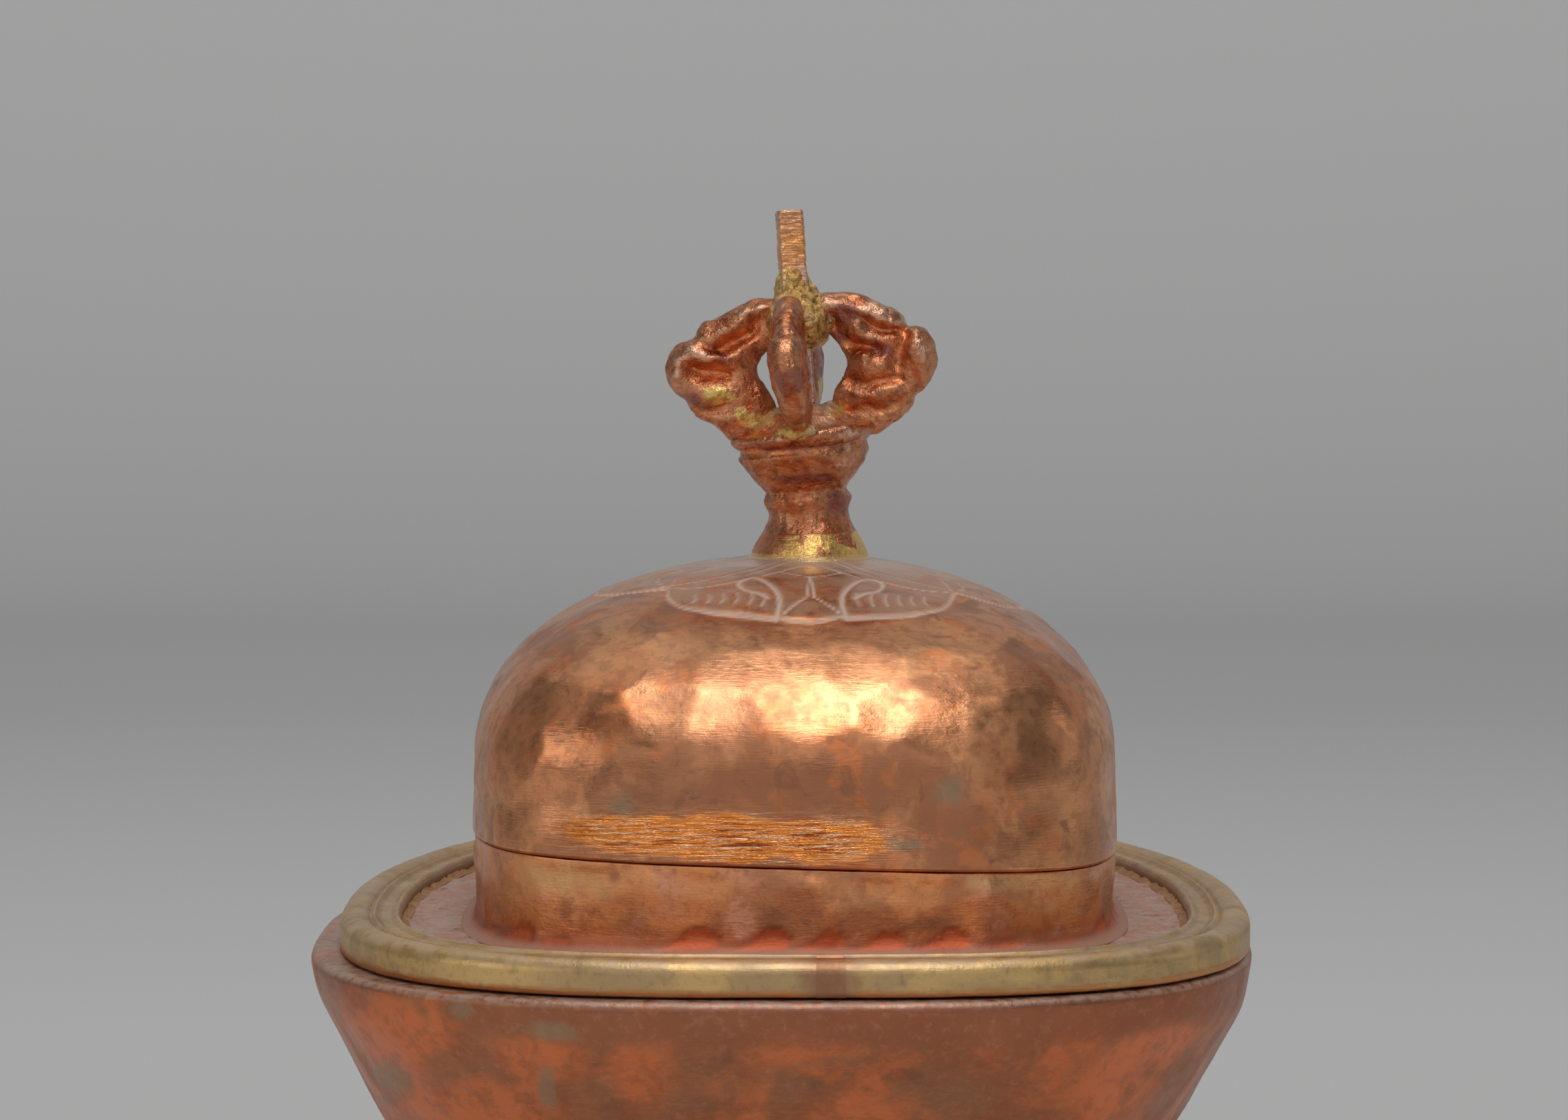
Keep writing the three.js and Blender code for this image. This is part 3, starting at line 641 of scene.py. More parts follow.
rim_film = ("settled", cloud(4, 0.36, 0.6, 29, 8))
rim_brass = Finish(
    "worn_rim_brass", rim_olive, 0.4,
    ("tint", rim_yellow, cloud(9, 0.4, 0.72, 11, 6)),
    ("tint", rim_yellow, broken("yellow", 5, 12, 0.4, 0.8)),
    ("tint", rim_shade, cloud(3, 0.54, 0.8, 13, 6)),
    ("tint", rim_copper, broken("under", 3, 14, 0.4, 0.9)),
    ("tint", rim_dark, broken("dark", 2, 15, 0.3, 1.1)),
    ("tint", rim_brown, broken("stain", 2, 19, 0.3, 1.2), 0.9),
    ("tint", rim_brown, cloud(1.2, 0.5, 0.68, 20, 7), 0.35),
    ("polish", 0.48, cloud(5, 0.4, 0.65, 16)),
    # Dust, and painted shade in the grooves and along the inner edge.
    ("tint", groove_dust_and_shade, "dust", 0.8),
    ("cover", 0.1, "dust", 0.7),
    ("polish", 0.75, "dust"),
    ("tint", rim_dust, *rim_film, 0.45),
    ("cover", 0.2, *rim_film, 0.4),
    ("rise", 0.014, cloud(0.6, 0.35, 0.75, 17)),
    ("rise", 0.008, cloud(0.3, 0.4, 0.7, 18, 2, 0, 9)))
fit(rim, rim_brass, "lid", "rim_moulding")

joint_rings = rim_rail(joint_offset - joint_width / 2 - joint_lap, joint_offset + joint_width / 2 + joint_lap, 24)
rim_joint = skin("rim_joint_filling", raised(joint_rings, joint_proud + bumps(joint_rings, (0.04, 1.4, 34))))
joint_brass = Finish(
    "stained_joint_brass", joint_brown, 0.45,
    ("tint", joint_light, cloud(3, 0.4, 0.62, 26, 7)),
    ("tint", joint_dark, cloud(1.2, 0.54, 0.7, 27, 7)),
    ("rise", 0.02, cloud(0.6, 0.3, 0.75, 28, 6)))
fit(rim_joint, joint_brass, "lid", "rim_joint_braze")


# The plate: thin copper sheet let into the rim, wrinkled by soldering and dull with dust. Solder lies in the corner
# between it and the rim, and a collar under it drops inside the bowl's ledge and keeps the lid in place.
plate_outer = rim_inset + rim_rebate + 0.3 * mm
plate_ledge = 3 * mm
band_wall = 1 * mm
seam_step = 0.35 * mm
dome_low, dome_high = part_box("dome_shell")
dome_inset = lip_half_width - (dome_high.x - dome_low.x) / 2
plate_inner = dome_inset + seam_step + band_wall + plate_ledge
solder_start = rim_inset + rim_width
solder_lap = 0.1 * mm
collar_low, collar_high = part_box("lid_collar")
collar_inset = lip_half_width - (collar_high.x - collar_low.x) / 2
collar_thickness = 1.2 * mm
collar_columns = 480
solder_columns = 900
lid_columns = 640
plate_mauve = (0.7, 0.42, 0.33)
plate_pink = (0.68, 0.4, 0.3)
plate_dark = (0.38, 0.21, 0.16)
plate_dust = (0.56, 0.42, 0.36)
solder_brown = (0.52, 0.3, 0.15)
solder_light = (0.6, 0.34, 0.16)
solder_dark = (0.26, 0.13, 0.08)


def lid_band(outline, columns=lid_columns):
    """Rings of an outline of insets and heights carried round the plan, in the lid's place."""
    return round_the_plan(rows(outline[:, 0], 1, outline[:, 1]), even_angles(columns)) + (lid_middle, 0, 0)


def lifted(rings, height):
    """The rings moved straight up by a height."""
    return rings + height[..., None] * (0, 0, 1)


plate_rings = lid_band(divided(eased([
    (plate_outer, plate_low.z), (plate_outer, plate_top), (plate_inner, plate_top), (plate_inner, plate_low.z)],
    0.2 * mm, 3), 0.5 * mm))
wrinkles = bumps(plate_rings * (1, 1, 0), (0.1, 2.6, 41)) + bumps(plate_rings, (0.05, 1.1, 42))
plate_is_free = fade(plate_top - plate_rings[..., 2], 0.1, 0)
plate = skin("wrinkled_plate", lifted(plate_rings, wrinkles * plate_is_free), loop=True)
plate_film = cloud(2, 0.42, 0.6, 33, 6)
plate_copper = Finish(
    "dusty_plate_copper", plate_mauve, 0.55,
    ("tint", plate_pink, cloud(7, 0.45, 0.62, 31)),
    ("tint", plate_dark, cloud(3, 0.56, 0.72, 32, 6)),
    ("tint", plate_dust, plate_film),
    ("cover", 0.45, plate_film),
    ("polish", 0.72, cloud(4, 0.4, 0.65, 34)),
    ("rise", 0.1, cloud(0.8, 0.35, 0.7, 35, 6, 1.5)))
fit(plate, plate_copper, "lid", "flange_plate")

solder_rings = lid_band(divided(eased([
    (solder_start - solder_lap, plate_top), (solder_start - solder_lap, plate_top + 0.65 * mm),
    (solder_start + 0.4 * mm, plate_top + 0.35 * mm), (solder_start + 1.2 * mm, plate_top)],
    0.2 * mm, 4), 0.3 * mm), solder_columns)
solder_lumps = bumps(solder_rings, (0.22, 1.6, 43), (0.1, 0.7, 44))
solder_lumps *= fade(solder_rings[..., 2] - plate_top, 0.05, 0.3)
solder_bead = skin("rim_solder_bead", raised(solder_rings, solder_lumps, loop=True), loop=True)
solder = Finish(
    "brown_solder", solder_brown, 0.5,
    ("tint", solder_light, cloud(2.2, 0.42, 0.62, 21, 6)),
    ("tint", solder_dark, cloud(1.3, 0.58, 0.74, 22, 6)),
    ("polish", 0.68, cloud(1.5, 0.4, 0.65, 23)),
    ("cover", 0.5, cloud(1.9, 0.5, 0.7, 24)),
    ("rise", 0.06, cloud(0.5, 0.3, 0.75, 25, 6)))
fit(solder_bead, solder, "lid", "plate_solder")

collar_rings = lid_band(divided(eased([
    (collar_inset, collar_high.z), (collar_inset + collar_thickness, collar_high.z),
    (collar_inset + collar_thickness, collar_low.z), (collar_inset, collar_low.z)],
    0.25 * mm, 3), 1 * mm), collar_columns)
collar = skin("locating_collar", raised(collar_rings, bumps(collar_rings, (0.08, 7, 45)), loop=True), loop=True)
fit(collar, plate_copper, "lid", "lid_collar")


# The dome's lower strip: copper bent round and soldered on the plate, its foot turned out, with a row of hammer
# marks along the foot. Its upper edge is stepped in under the shell, and the seam runs a little downhill to the
# right. Heat has left it redder than the shell.
band_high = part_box("dome_band")[1]
seam_height = dome_low.z
seam_up = seam_height - plate_top
seam_slope = 0.03
shell_wall = 1.2 * mm
band_outer = dome_inset + seam_step
band_inner = band_outer + band_wall
band_lapped = dome_inset + shell_wall + 0.3 * mm
band_foot_flare = 2 * mm
band_foot_height = 2.55 * mm
scallop_spacing = 8.5 * mm
scallop_height = 3.4 * mm
scallop_depth = 0.2 * mm
strip_orange = (0.94, 0.4, 0.17)
strip_brown = (0.66, 0.28, 0.14)
strip_red = (0.82, 0.24, 0.1)
strip_pink = (0.92, 0.43, 0.28)
strip_dark = (0.46, 0.18, 0.1)
strip_speck = (0.55, 0.22, 0.12)
strip_gold = (0.86, 0.52, 0.24)
strip_grey = (0.34, 0.17, 0.12)
foot_brown = (0.42, 0.14, 0.075)
foot_dust = (0.46, 0.26, 0.19)
scallop_red = (0.74, 0.17, 0.07)
scallop_edge_shade = (0.3, 0.09, 0.05)


def seam_lean(rings, low, high):
    """How far the seam's slope moves each point up: the slope times its way to the left of the lid's middle, in
    full at the second height and not at all at the first."""
    return -seam_slope * (rings[..., 0] - lid_middle) * ease(rings[..., 2], low, high)


flare_sine, flare_cosine = arc_shares(8)
band_outline = divided(np.vstack([
    [(band_outer - band_foot_flare, plate_top - 0.05 * mm)],
    np.stack([band_outer - band_foot_flare * (1 - flare_sine),
              plate_top + 0.1 * mm + band_foot_height * (1 - flare_cosine)], 1),
    eased([(band_outer, seam_height - 0.12 * mm), (band_lapped, seam_height - 0.12 * mm),
           (band_lapped, band_high.z), (band_lapped + band_wall, band_high.z),
           (band_lapped + band_wall, seam_height - 1.6 * mm), (band_inner, seam_height - 2.6 * mm),
           (band_inner, plate_top)], 0.3 * mm, 4)]), 0.6 * mm)
band_rings = lid_band(band_outline)
band_up = band_rings[..., 2] - plate_top
foot_row = np.argmin(np.abs(band_outline[:60, 1] - plate_top - 3.4 * mm))
band_blows = np.vstack([blow_places(band_rings[foot_row:foot_row + 2], 9.5 * mm, 51),
                        blow_places(band_rings[foot_row + 5:foot_row + 14], 10 * mm, 52)])
band_dents = hammered(band_rings, band_blows, 34 * mm, 0.2 * mm, 0.015 * mm, 53)
band_dents *= fade(band_up, 0.5, 2.2) * ease(band_up, seam_up - 0.4 * mm, seam_up - 2.2 * mm)
band_run = np.linalg.norm(band_rings - np.roll(band_rings, 1, 1), axis=-1).cumsum(1)
band_plan = band_rings * (1, 1, 0)
scallop_arch = np.abs(np.sin(turn / 2 * band_run / scallop_spacing + grain(band_plan, 15 * mm, 55)))
scallop_top = 0.4 * mm + (scallop_height * np.clip(0.72 + 0.6 * grain(band_plan, 11 * mm, 56), 0.1, 1)
                          * np.clip(1.3 * scallop_arch - 0.3, 0, 1) ** 0.7)
scallops = fade(scallop_top - band_up, 0, 0.5) * fade(band_up, 0.6, 1.4)
band_dents += bumps(band_rings, (0.05, 3, 54)) - scallop_depth * scallops
band_lean = seam_lean(band_rings, plate_top + 1 * mm, seam_height - 1 * mm)
band = skin("dome_lower_strip", lifted(raised(band_rings, band_dents, loop=True), band_lean), loop=True)
band_front = fade(-band_rings[..., 1], 0, 20)
mark(band, red=fade(band_up, 6.5, 0.5), foot=fade(band_up, 3, 1.6), dust=fade(band_up, 1.7, 0.5),
     scallop=scallops * band_front,
     # Painted shade: a dark line along the upper edge of each hammer mark.
     crest=hump(scallop_top, band_up, 0.22 * mm) * fade(band_up, 1.6, 2.4) * band_front,
     gold=spots(band_rings, (-29, 84, 9, 2.5), (38, 83.5, 1.3, 0.7), (36, 81, 0.9, 0.6), (39.5, 80, 1.2, 0.8),
                (33, 85, 12, 1.5)),
     grey=spots(band_rings, (-43, 79, 4, 5), (-1, 80, 3, 2.5), (20, 79, 6, 1.5)))

band_copper = Finish(
    "reddened_strip_copper", strip_orange, 0.3,
    ("tint", strip_brown, cloud(9, 0.44, 0.62, 41, 8, 0.4)),
    ("tint", strip_red, broken("red", 5, 42, 0.3, 0.9), 0.85),
    ("tint", strip_pink, cloud(6, 0.54, 0.68, 43, 8, 0.3), 0.7),
    ("tint", strip_dark, cloud(4, 0.54, 0.7, 44, 8), 0.7),
    ("tint", strip_speck, cloud(1.1, 0.5, 0.68, 40, 7), 0.4),
    ("tint", strip_gold, broken("gold", 3, 45, 0.3, 1.0), 0.6),
    ("tint", strip_grey, broken("grey", 4, 46, 0.3, 1.1), 0.6),
    ("tint", foot_brown, "foot", 0.75),
    ("tint", scallop_red, "scallop", 0.85),
    # Painted shade along the upper edge of each hammer mark.
    ("tint", scallop_edge_shade, "crest", 0.65),
    ("polish", 0.42, cloud(6, 0.42, 0.66, 47)),
    ("polish", 0.58, "foot"),
    ("tint", foot_dust, "dust", 0.75),
    ("cover", 0.2, "dust", 0.7),
    ("rise", 0.03, cloud(1, 0.35, 0.75, 48, 6)),
    ("rise", 0.01, cloud(0.3, 0.4, 0.7, 49, 2, 0, 8)))
fit(band, band_copper, "lid", "dome_band")


# The dome: raised from a copper sheet, planished in flats, and filed bright along the front of its seam. The crown
# is chased with hooked petals whose lines hold pale dust, raised a little above the plain metal round them.
plate_to_wall_top = 22.35 * mm
crown_power = 2.3
wall_top = plate_top + plate_to_wall_top
dome_top = dome_high.z
finial_shift = 2.2 * mm
tang_hole = 2.7 * mm
dome_columns = 600
dome_wall_rows = 22
dome_cap_rows = 122
dome_inner_rows = 14
dome_least_reach = 3.4 * mm
dome_blow_spacing = 7.6 * mm
dome_flat_radius = 60 * mm
petal_unit = 55 * mm
dome_orange = (0.85, 0.345, 0.16)
dome_brown_and_dark_reflection = (0.5, 0.205, 0.105)
dome_gold_and_highlight = (0.87, 0.42, 0.2)
dome_red = (0.84, 0.27, 0.1)
dome_speck = (0.5, 0.22, 0.115)
dome_dark = (0.36, 0.16, 0.09)
dome_grey = (0.4, 0.3, 0.2)
filed_orange = (1.0, 0.36, 0.085)
filed_line = (0.45, 0.1, 0.03)
filed_glint = (1.0, 0.58, 0.33)
petal_dust = (0.4, 0.23, 0.15)
crown_dust = (0.44, 0.35, 0.3)
line_dust = (0.56, 0.44, 0.38)

crown_lines = (
    (0.55, ((0.0, 0.385), (0.012, 0.56))),
    (0.55, ((0.012, 0.565), (0.045, 0.61), (0.08, 0.665))),
    (0.6, ((0.0, 0.703), (0.05, 0.695), (0.107, 0.675))),
    (0.6, ((0.0, 0.396), (0.05, 0.375), (0.1, 0.334))),
    (0.6, ((0.0, 0.225), (0.05, 0.275), (0.1, 0.334), (0.15, 0.385))),
    (1.1, ((0.104, 0.688), (0.094, 0.64), (0.096, 0.598), (0.109, 0.523), (0.136, 0.45), (0.175, 0.405),
           (0.21, 0.425), (0.222, 0.465), (0.2, 0.515), (0.165, 0.535), (0.135, 0.57))),
    (0.9, ((0.107, 0.688), (0.2, 0.672), (0.276, 0.66), (0.34, 0.635), (0.396, 0.6), (0.43, 0.54), (0.445, 0.445))),
    (0.6, ((0.21, 0.42), (0.27, 0.455), (0.324, 0.474), (0.38, 0.475), (0.43, 0.458))),
    (0.55, ((0.08, 0.12), (0.15, 0.25), (0.24, 0.35), (0.33, 0.41), (0.43, 0.435))),
    (0.5, ((0.04, 0.13), (0.08, 0.2), (0.14, 0.3), (0.2, 0.37))),
)
tick_count = 6
tick_shares = (0.15, 0.36)


def smooth_line(corners, count):
    """A smooth curve through given points: cubic pieces whose slopes there are the central differences."""
    corners = np.asarray(corners, float)
    slopes = np.gradient(corners, axis=0)
    place = np.linspace(0, len(corners) - 1, count)
    first = np.minimum(place.astype(int), len(corners) - 2)
    t = (place - first)[:, None]
    a, b = corners[first], corners[first + 1]
    return (a * (2 * t ** 3 - 3 * t ** 2 + 1) + b * (3 * t ** 2 - 2 * t ** 3)
            + slopes[first] * (t ** 3 - 2 * t ** 2 + t) + slopes[first + 1] * (t ** 3 - t ** 2))


def distance_to_line(x, y, line):
    """Shortest distance from points to a line of short straight pieces."""
    nearest = np.full(x.shape, 1e9)
    for (ax, ay), (bx, by) in zip(line[:-1], line[1:]):
        along_x, along_y = bx - ax, by - ay
        share = ((x - ax) * along_x + (y - ay) * along_y) / (along_x ** 2 + along_y ** 2 + 1e-12)
        share = np.clip(share, 0, 1)
        nearest = np.minimum(nearest, np.hypot(x - ax - share * along_x, y - ay - share * along_y))
    return nearest


def crown_pattern(points):
    """Line strength and raised field of the crown's petals at given points.

    The plan is shaken a little, so that it looks drawn by hand, and brought to a circle of radius 1 about the knob.
    It is folded eight times about its middle, so that every point falls in the half petal to the right of the front.
    """
    x = points[..., 0] + bumps(points, (0.35, 7, 61)) - lid_middle - finial_shift
    y = -points[..., 1] - bumps(points, (0.35, 7, 62))
    x, y = x / (lip_half_width - dome_inset), y / (lip_half_length - dome_inset)
    heading = np.abs(np.arctan2(x, y)) % (turn / 4)
    heading = np.where(heading > turn / 8, turn / 4 - heading, heading)
    reach = np.hypot(x, y)
    x, y = reach * np.sin(heading), reach * np.cos(heading)
    strokes = [(1, 0.42 * width * mm, smooth_line(corners, 4 * len(corners))) for width, corners in crown_lines]
    for tick in np.linspace(*tick_shares, tick_count):
        corners = ((tick, 0.615 - 0.18 * (tick - 0.2)), (tick - 0.012, 0.57), (tick - 0.008, 0.535))
        strokes.append((0.7, 0.27 * mm, smooth_line(corners, 6)))
    lines = np.max([strength * hump(distance_to_line(x, y, line) * petal_unit, 0, width)
                    for strength, width, line in strokes], axis=0)
    edge_x, edge_y = smooth_line(crown_lines[6][1], 40).T
    limit = np.interp(heading, np.arctan2(edge_x, edge_y), np.hypot(edge_x, edge_y))
    return lines, ease(limit - reach, -0.008, 0.012) * ease(reach, 0.1, 0.2)


def crown_rings(section, angles):
    """Rings of a section, moved to the right by the knob's shift times the square of how far in each row is."""
    rings = round_the_plan(section, angles)
    rings[..., 0] += finial_shift * (1 - section[:, 1:2]) ** 2
    return rings


def crown_rows(inset, sine, cosine, top):
    """Rows of the crown from the sine and cosine of its angle, as powers that make it a superellipse."""
    return rows(inset, cosine ** (2 / crown_power), wall_top + (top - wall_top) * sine ** (2 / crown_power))


cap_rows = crown_rows(dome_inset, *arc_shares(dome_cap_rows + 1), dome_top)[1:]
wall_start = seam_height + 0.6 * mm
outer_section = np.vstack([
    [(dome_inset + 0.35 * mm, 1, seam_height), (dome_inset + 0.12 * mm, 1, seam_height + 0.08 * mm),
     (dome_inset, 1, seam_height + 0.4 * mm)],
    rows(dome_inset, 1, wall_start + (wall_top - wall_start) * np.linspace(0, 1, dome_wall_rows)),
    cap_rows[cap_rows[:, 1] * (lip_half_width - dome_inset) > dome_least_reach]])
inner_angle = np.linspace(0, 1, dome_inner_rows)[::-1] * 0.97 * turn / 4
inner_section = np.vstack([
    crown_rows(dome_inset + shell_wall, np.sin(inner_angle), np.cos(inner_angle), dome_top - shell_wall),
    [(dome_inset + shell_wall, 1, seam_height + 3 * mm), (dome_inset + shell_wall, 1, seam_height)]])
dome_angles = even_angles(dome_columns)
hole_ring = np.stack([finial_shift + tang_hole * np.cos(dome_angles), tang_hole * np.sin(dome_angles),
                      dome_top + 0 * dome_angles], -1)
dome_rings = np.concatenate([
    crown_rings(outer_section, dome_angles), [hole_ring - (0, 0, down) for down in (0, 0.4 * mm, shell_wall)],
    crown_rings(inner_section, dome_angles)]) + (lid_middle, 0, 0)
outside_rows = len(outer_section)
dome_blows = blow_places(dome_rings[4:outside_rows], dome_blow_spacing, 63)
dome_dents = hammered(dome_rings, dome_blows, dome_flat_radius, 0.12 * mm, 0.026 * mm, 64)
dome_up = dome_rings[..., 2] - seam_height
crown_line, crown_field = crown_pattern(dome_rings)
dome_filed = spots(dome_rings, (-19, 90.4, 9, 2.5), (-7, 90.2, 9, 2.8), (5, 90.2, 8, 2.5))
dome_dents *= fade(dome_up, 1.5, 7) * (1 - 0.75 * crown_field)
dome_dents += bumps(dome_rings, (0.15, 26, 65)) * fade(dome_up, 0, 8)
dome_dents += bumps(dome_rings, (0.07, 5, 69)) * fade(dome_up, 2, 8) + bumps(dome_rings, (0.012, 1.8, 66))
dome_dents += dome_filed * (bumps(dome_rings * (0.25, 0.25, 1), (0.03, 0.5, 67))
                            + bumps(dome_rings * (0.4, 0.4, 1), (0.05, 1.5, 68)))
dome_dents += (0.3 * crown_field - 0.2 * crown_line - 0.25 * fade(dome_up, 1, 8)) * mm
dome_dents[outside_rows:] = 0
dome_lean = seam_lean(dome_rings, seam_height + 15 * mm, seam_height)
dome = skin("raised_dome", lifted(raised(dome_rings, dome_dents, loop=True), dome_lean), loop=True)
dome_is_outside = (np.arange(len(dome_rings)) < outside_rows)[:, None]
knob_distance = np.hypot(dome_rings[..., 0] - lid_middle - finial_shift, dome_rings[..., 1])
mark(dome, line=crown_line * dome_is_outside, field=crown_field * dome_is_outside,
     dust=fade(knob_distance, 38, 10) * dome_is_outside, filed=np.clip(1.3 * dome_filed, 0, 1),
     # The wide gold spot across the crown's upper front is a painted highlight; the others are gold-toned copper.
     gold=spots(dome_rings, (-38, 92, 10, 9), (33, 106, 10, 5), (40, 96, 8, 9), (8, 108, 12, 3), (-4, 115, 26, 4),
                (34, 87.5, 9, 3)),
     grey=spots(dome_rings, (16.5, 90, 5, 1.2), (-21.5, 94.4, 2.4, 2.6), (22, 97, 3, 3)),
     # The wide brown spot low on the front is stain and also a painted dark reflection below the highlight; the two
     # small ones are stains.
     brown=spots(dome_rings, (0, 97, 30, 6), (-16, 101, 8, 6), (22, 93, 8, 5)))

file_lines = ("filed", cloud(0.5, 0.5, 0.62, 63, 4, 0, 16))
petal_film = ("field", cloud(5, 0.3, 0.6, 102, 8))
crown_film = (broken("dust", 4, 60, 0.3, 1.1), 0.75)
dome_copper = Finish(
    "planished_dome_copper", dome_orange, 0.25,
    ("tint", dome_gold_and_highlight, cloud(20, 0.42, 0.62, 51, 8, 0.5)),
    ("tint", dome_brown_and_dark_reflection, cloud(11, 0.46, 0.57, 52, 9, 0.6), 0.8),
    # Brown stains, and a painted dark reflection across the front below the highlight.
    ("tint", dome_brown_and_dark_reflection, broken("brown", 8, 53, 0.2, 0.9), 0.8),
    ("tint", dome_red, cloud(7, 0.52, 0.64, 55, 8, 0.5), 0.7),
    # Gold-toned copper, and a painted highlight across the crown's upper front.
    ("tint", dome_gold_and_highlight, broken("gold", 9, 54, 0.2, 1.1), 0.6),
    ("tint", dome_speck, cloud(1.8, 0.46, 0.62, 62, 8), 0.5),
    ("tint", dome_dark, cloud(4, 0.56, 0.68, 56, 8, 0.8), 0.6),
    ("tint", filed_orange, broken("filed", 5, 57, 0.25, 0.45)),
    ("tint", filed_line, *file_lines),
    # Painted glints along the file lines.
    ("tint", filed_glint, "filed", cloud(0.42, 0.5, 0.6, 64, 3, 0, 14)),
    ("tint", dome_grey, broken("grey", 3, 58, 0.3, 1.2), 0.8),
    ("polish", 0.42, cloud(8, 0.42, 0.66, 59)),
    ("polish", 0.2, "filed"),
    ("rise", -0.11, *file_lines),
    ("tint", petal_dust, *petal_film, 0.85),
    ("cover", 0.2, *petal_film, 0.7),
    ("tint", crown_dust, *crown_film),
    ("cover", 0.1, *crown_film),
    ("tint", line_dust, "line", 0.85),
    ("cover", 0.0, "line", 0.85),
    ("polish", 0.8, "line"),
    ("rise", 0.012, cloud(1.2, 0.35, 0.75, 61, 6)),
    ("rise", 0.008, cloud(0.25, 0.4, 0.7, 62, 2, 0, 10)),
    ("rise", 0.1, "filed", cloud(0.2, 0.4, 0.65, 63, 3, 0, 18)))
fit(dome, dome_copper, "lid", "dome_shell")


# The knob's base: cast in copper, with a spread foot, a ridged neck and a cup with a soft lip. Its tang goes
# through the dome's crown and is riveted over a washer inside. The casting is left rough, and its skin is dark red.
finial_lean = math.radians(3.6)
neck_height = 6 * mm
finial_foot = np.array([lid_middle + finial_shift, 0, dome_top + 0.1 * mm])
base_columns = 360
tang_radius = 2.4 * mm
lip_slope = 0.05
rove_radius = 6 * mm
base_profile = (
    (0.0, 8.6), (0.9, 8.3), (1.8, 7.9), (2.9, 7.25), (4.0, 6.6), (5.1, 6.05), (5.9, 5.8), (6.6, 5.85), (7.4, 6.2),
    (8.3, 6.4), (9.0, 6.15), (9.6, 6.05), (10.2, 6.5), (11.0, 7.2), (11.8, 7.8), (12.9, 8.5), (14.0, 9.2),
    (14.9, 9.55), (15.6, 9.35), (16.2, 9.4), (16.8, 10.1), (17.5, 10.75), (18.1, 10.7), (18.6, 10.1), (18.8, 9.0),
    (19.3, 7.6), (20.3, 6.2), (21.2, 5.0), (21.8, 3.8), (22.1, 2.2), (22.1, 0.4))
cast_orange = (0.74, 0.32, 0.16)
cast_red = (0.56, 0.15, 0.055)
cast_glow = (0.95, 0.32, 0.11)
cast_bright = (0.95, 0.6, 0.42)
cast_grey = (0.44, 0.23, 0.14)
cast_light = (0.88, 0.42, 0.22)
cast_brown = (0.4, 0.15, 0.075)
cast_oxide = (0.34, 0.13, 0.11)
cast_rubbed = (0.5, 0.25, 0.14)
cast_dark = (0.34, 0.12, 0.06)
cast_dust = (0.44, 0.28, 0.17)
braze_yellow = (0.84, 0.58, 0.18)


def lean_over(points):
    """Bends the upright knob over to the left and sets it on the crown. The axis is an arc up to the neck's height
    and straight above it, and below the foot it stays upright."""
    bend = neck_height / finial_lean
    height = points[..., 2]
    bent = np.clip(height, 0, neck_height)
    straight = height - bent
    angle = bent / bend
    x = -bend * (1 - np.cos(angle)) - straight * np.sin(angle) + points[..., 0] * np.cos(angle)
    z = bend * np.sin(angle) + straight * np.cos(angle) + points[..., 0] * np.sin(angle)
    return np.stack([x, points[..., 1], z], -1) + finial_foot


def roughcast(points, seed):
    """The skin of a sand casting: fields of noise from 2.6 mm lumps down to fine grain, and pits where one is low."""
    return (bumps(points, (0.17, 2.6, seed), (0.13, 1.2, seed + 1), (0.045, 0.5, seed + 2))
            - 0.12 * mm * ease(-grain(points, 0.9 * mm, seed + 3), 0.35, 0.8))


def lathe(profile, count):
    """Rings of a profile of radii and heights, turned about an upright axis."""
    angles = np.linspace(0, turn, count, endpoint=False)
    return np.stack([profile[:, :1] * np.cos(angles), profile[:, :1] * np.sin(angles),
                     profile[:, 1:] + 0 * angles], -1)


base_outline = np.vstack([
    [(0.15 * mm, -7.6 * mm), (1.5 * mm, -7.6 * mm), (3.1 * mm, -6.9 * mm), (3.3 * mm, -6.4 * mm),
     (tang_radius, -6.3 * mm), (tang_radius, -3 * mm), (tang_radius, 0.0), (6 * mm, 0.0)],
    smooth_line(np.array(base_profile)[:, ::-1] * mm, 190)])
base_rings = lathe(base_outline, base_columns)
base_rings[..., 2] += lip_slope * base_rings[..., 0] * fade(base_rings[..., 2], 13, 17)
base_up = base_rings[..., 2]
base_cast = roughcast(base_rings, 71) + bumps(base_rings * (1, 1, 0.6), (0.4, 5.5, 75)) * fade(base_up, 8, 11)
base_cast += bumps(base_rings, (0.7, 2.4, 68)) * fade(base_up, 18.6, 19.4)
base_cast *= fade(base_up, 0.2, 1)
knob_base = skin("cast_base", lean_over(raised(base_rings, base_cast)))
mark(knob_base, worn=fade(base_cast, 0.02, 0.4) + 0.5 * hump(base_up, 17.6 * mm, 0.6 * mm),
     # Painted glow in the hollows and in the groove under the lip, as of light bounced between copper walls.
     cave=fade(-base_cast, 0, 0.4) + 0.7 * hump(base_up, 15.9 * mm, 0.6 * mm),
     gold=np.maximum(0.4 * spots(base_rings, (4.5, 17.6, 2, 1), (-3, 13, 2.5, 1.5)),
                     spots(base_rings, (4.8, 20.6, 1.3, 0.9), (-5.4, 20.9, 1.8, 1.3))),
     dust=0.5 * fade(base_up, 18.4, 19.2) + 0.5 * fade(base_up, 1.2, 0.1),
     oxide=spots(base_rings, (4.6, 7.5, 2.2, 2.0), (0, 11.5, 6, 1.0), (-1, 16.2, 8, 0.5)))

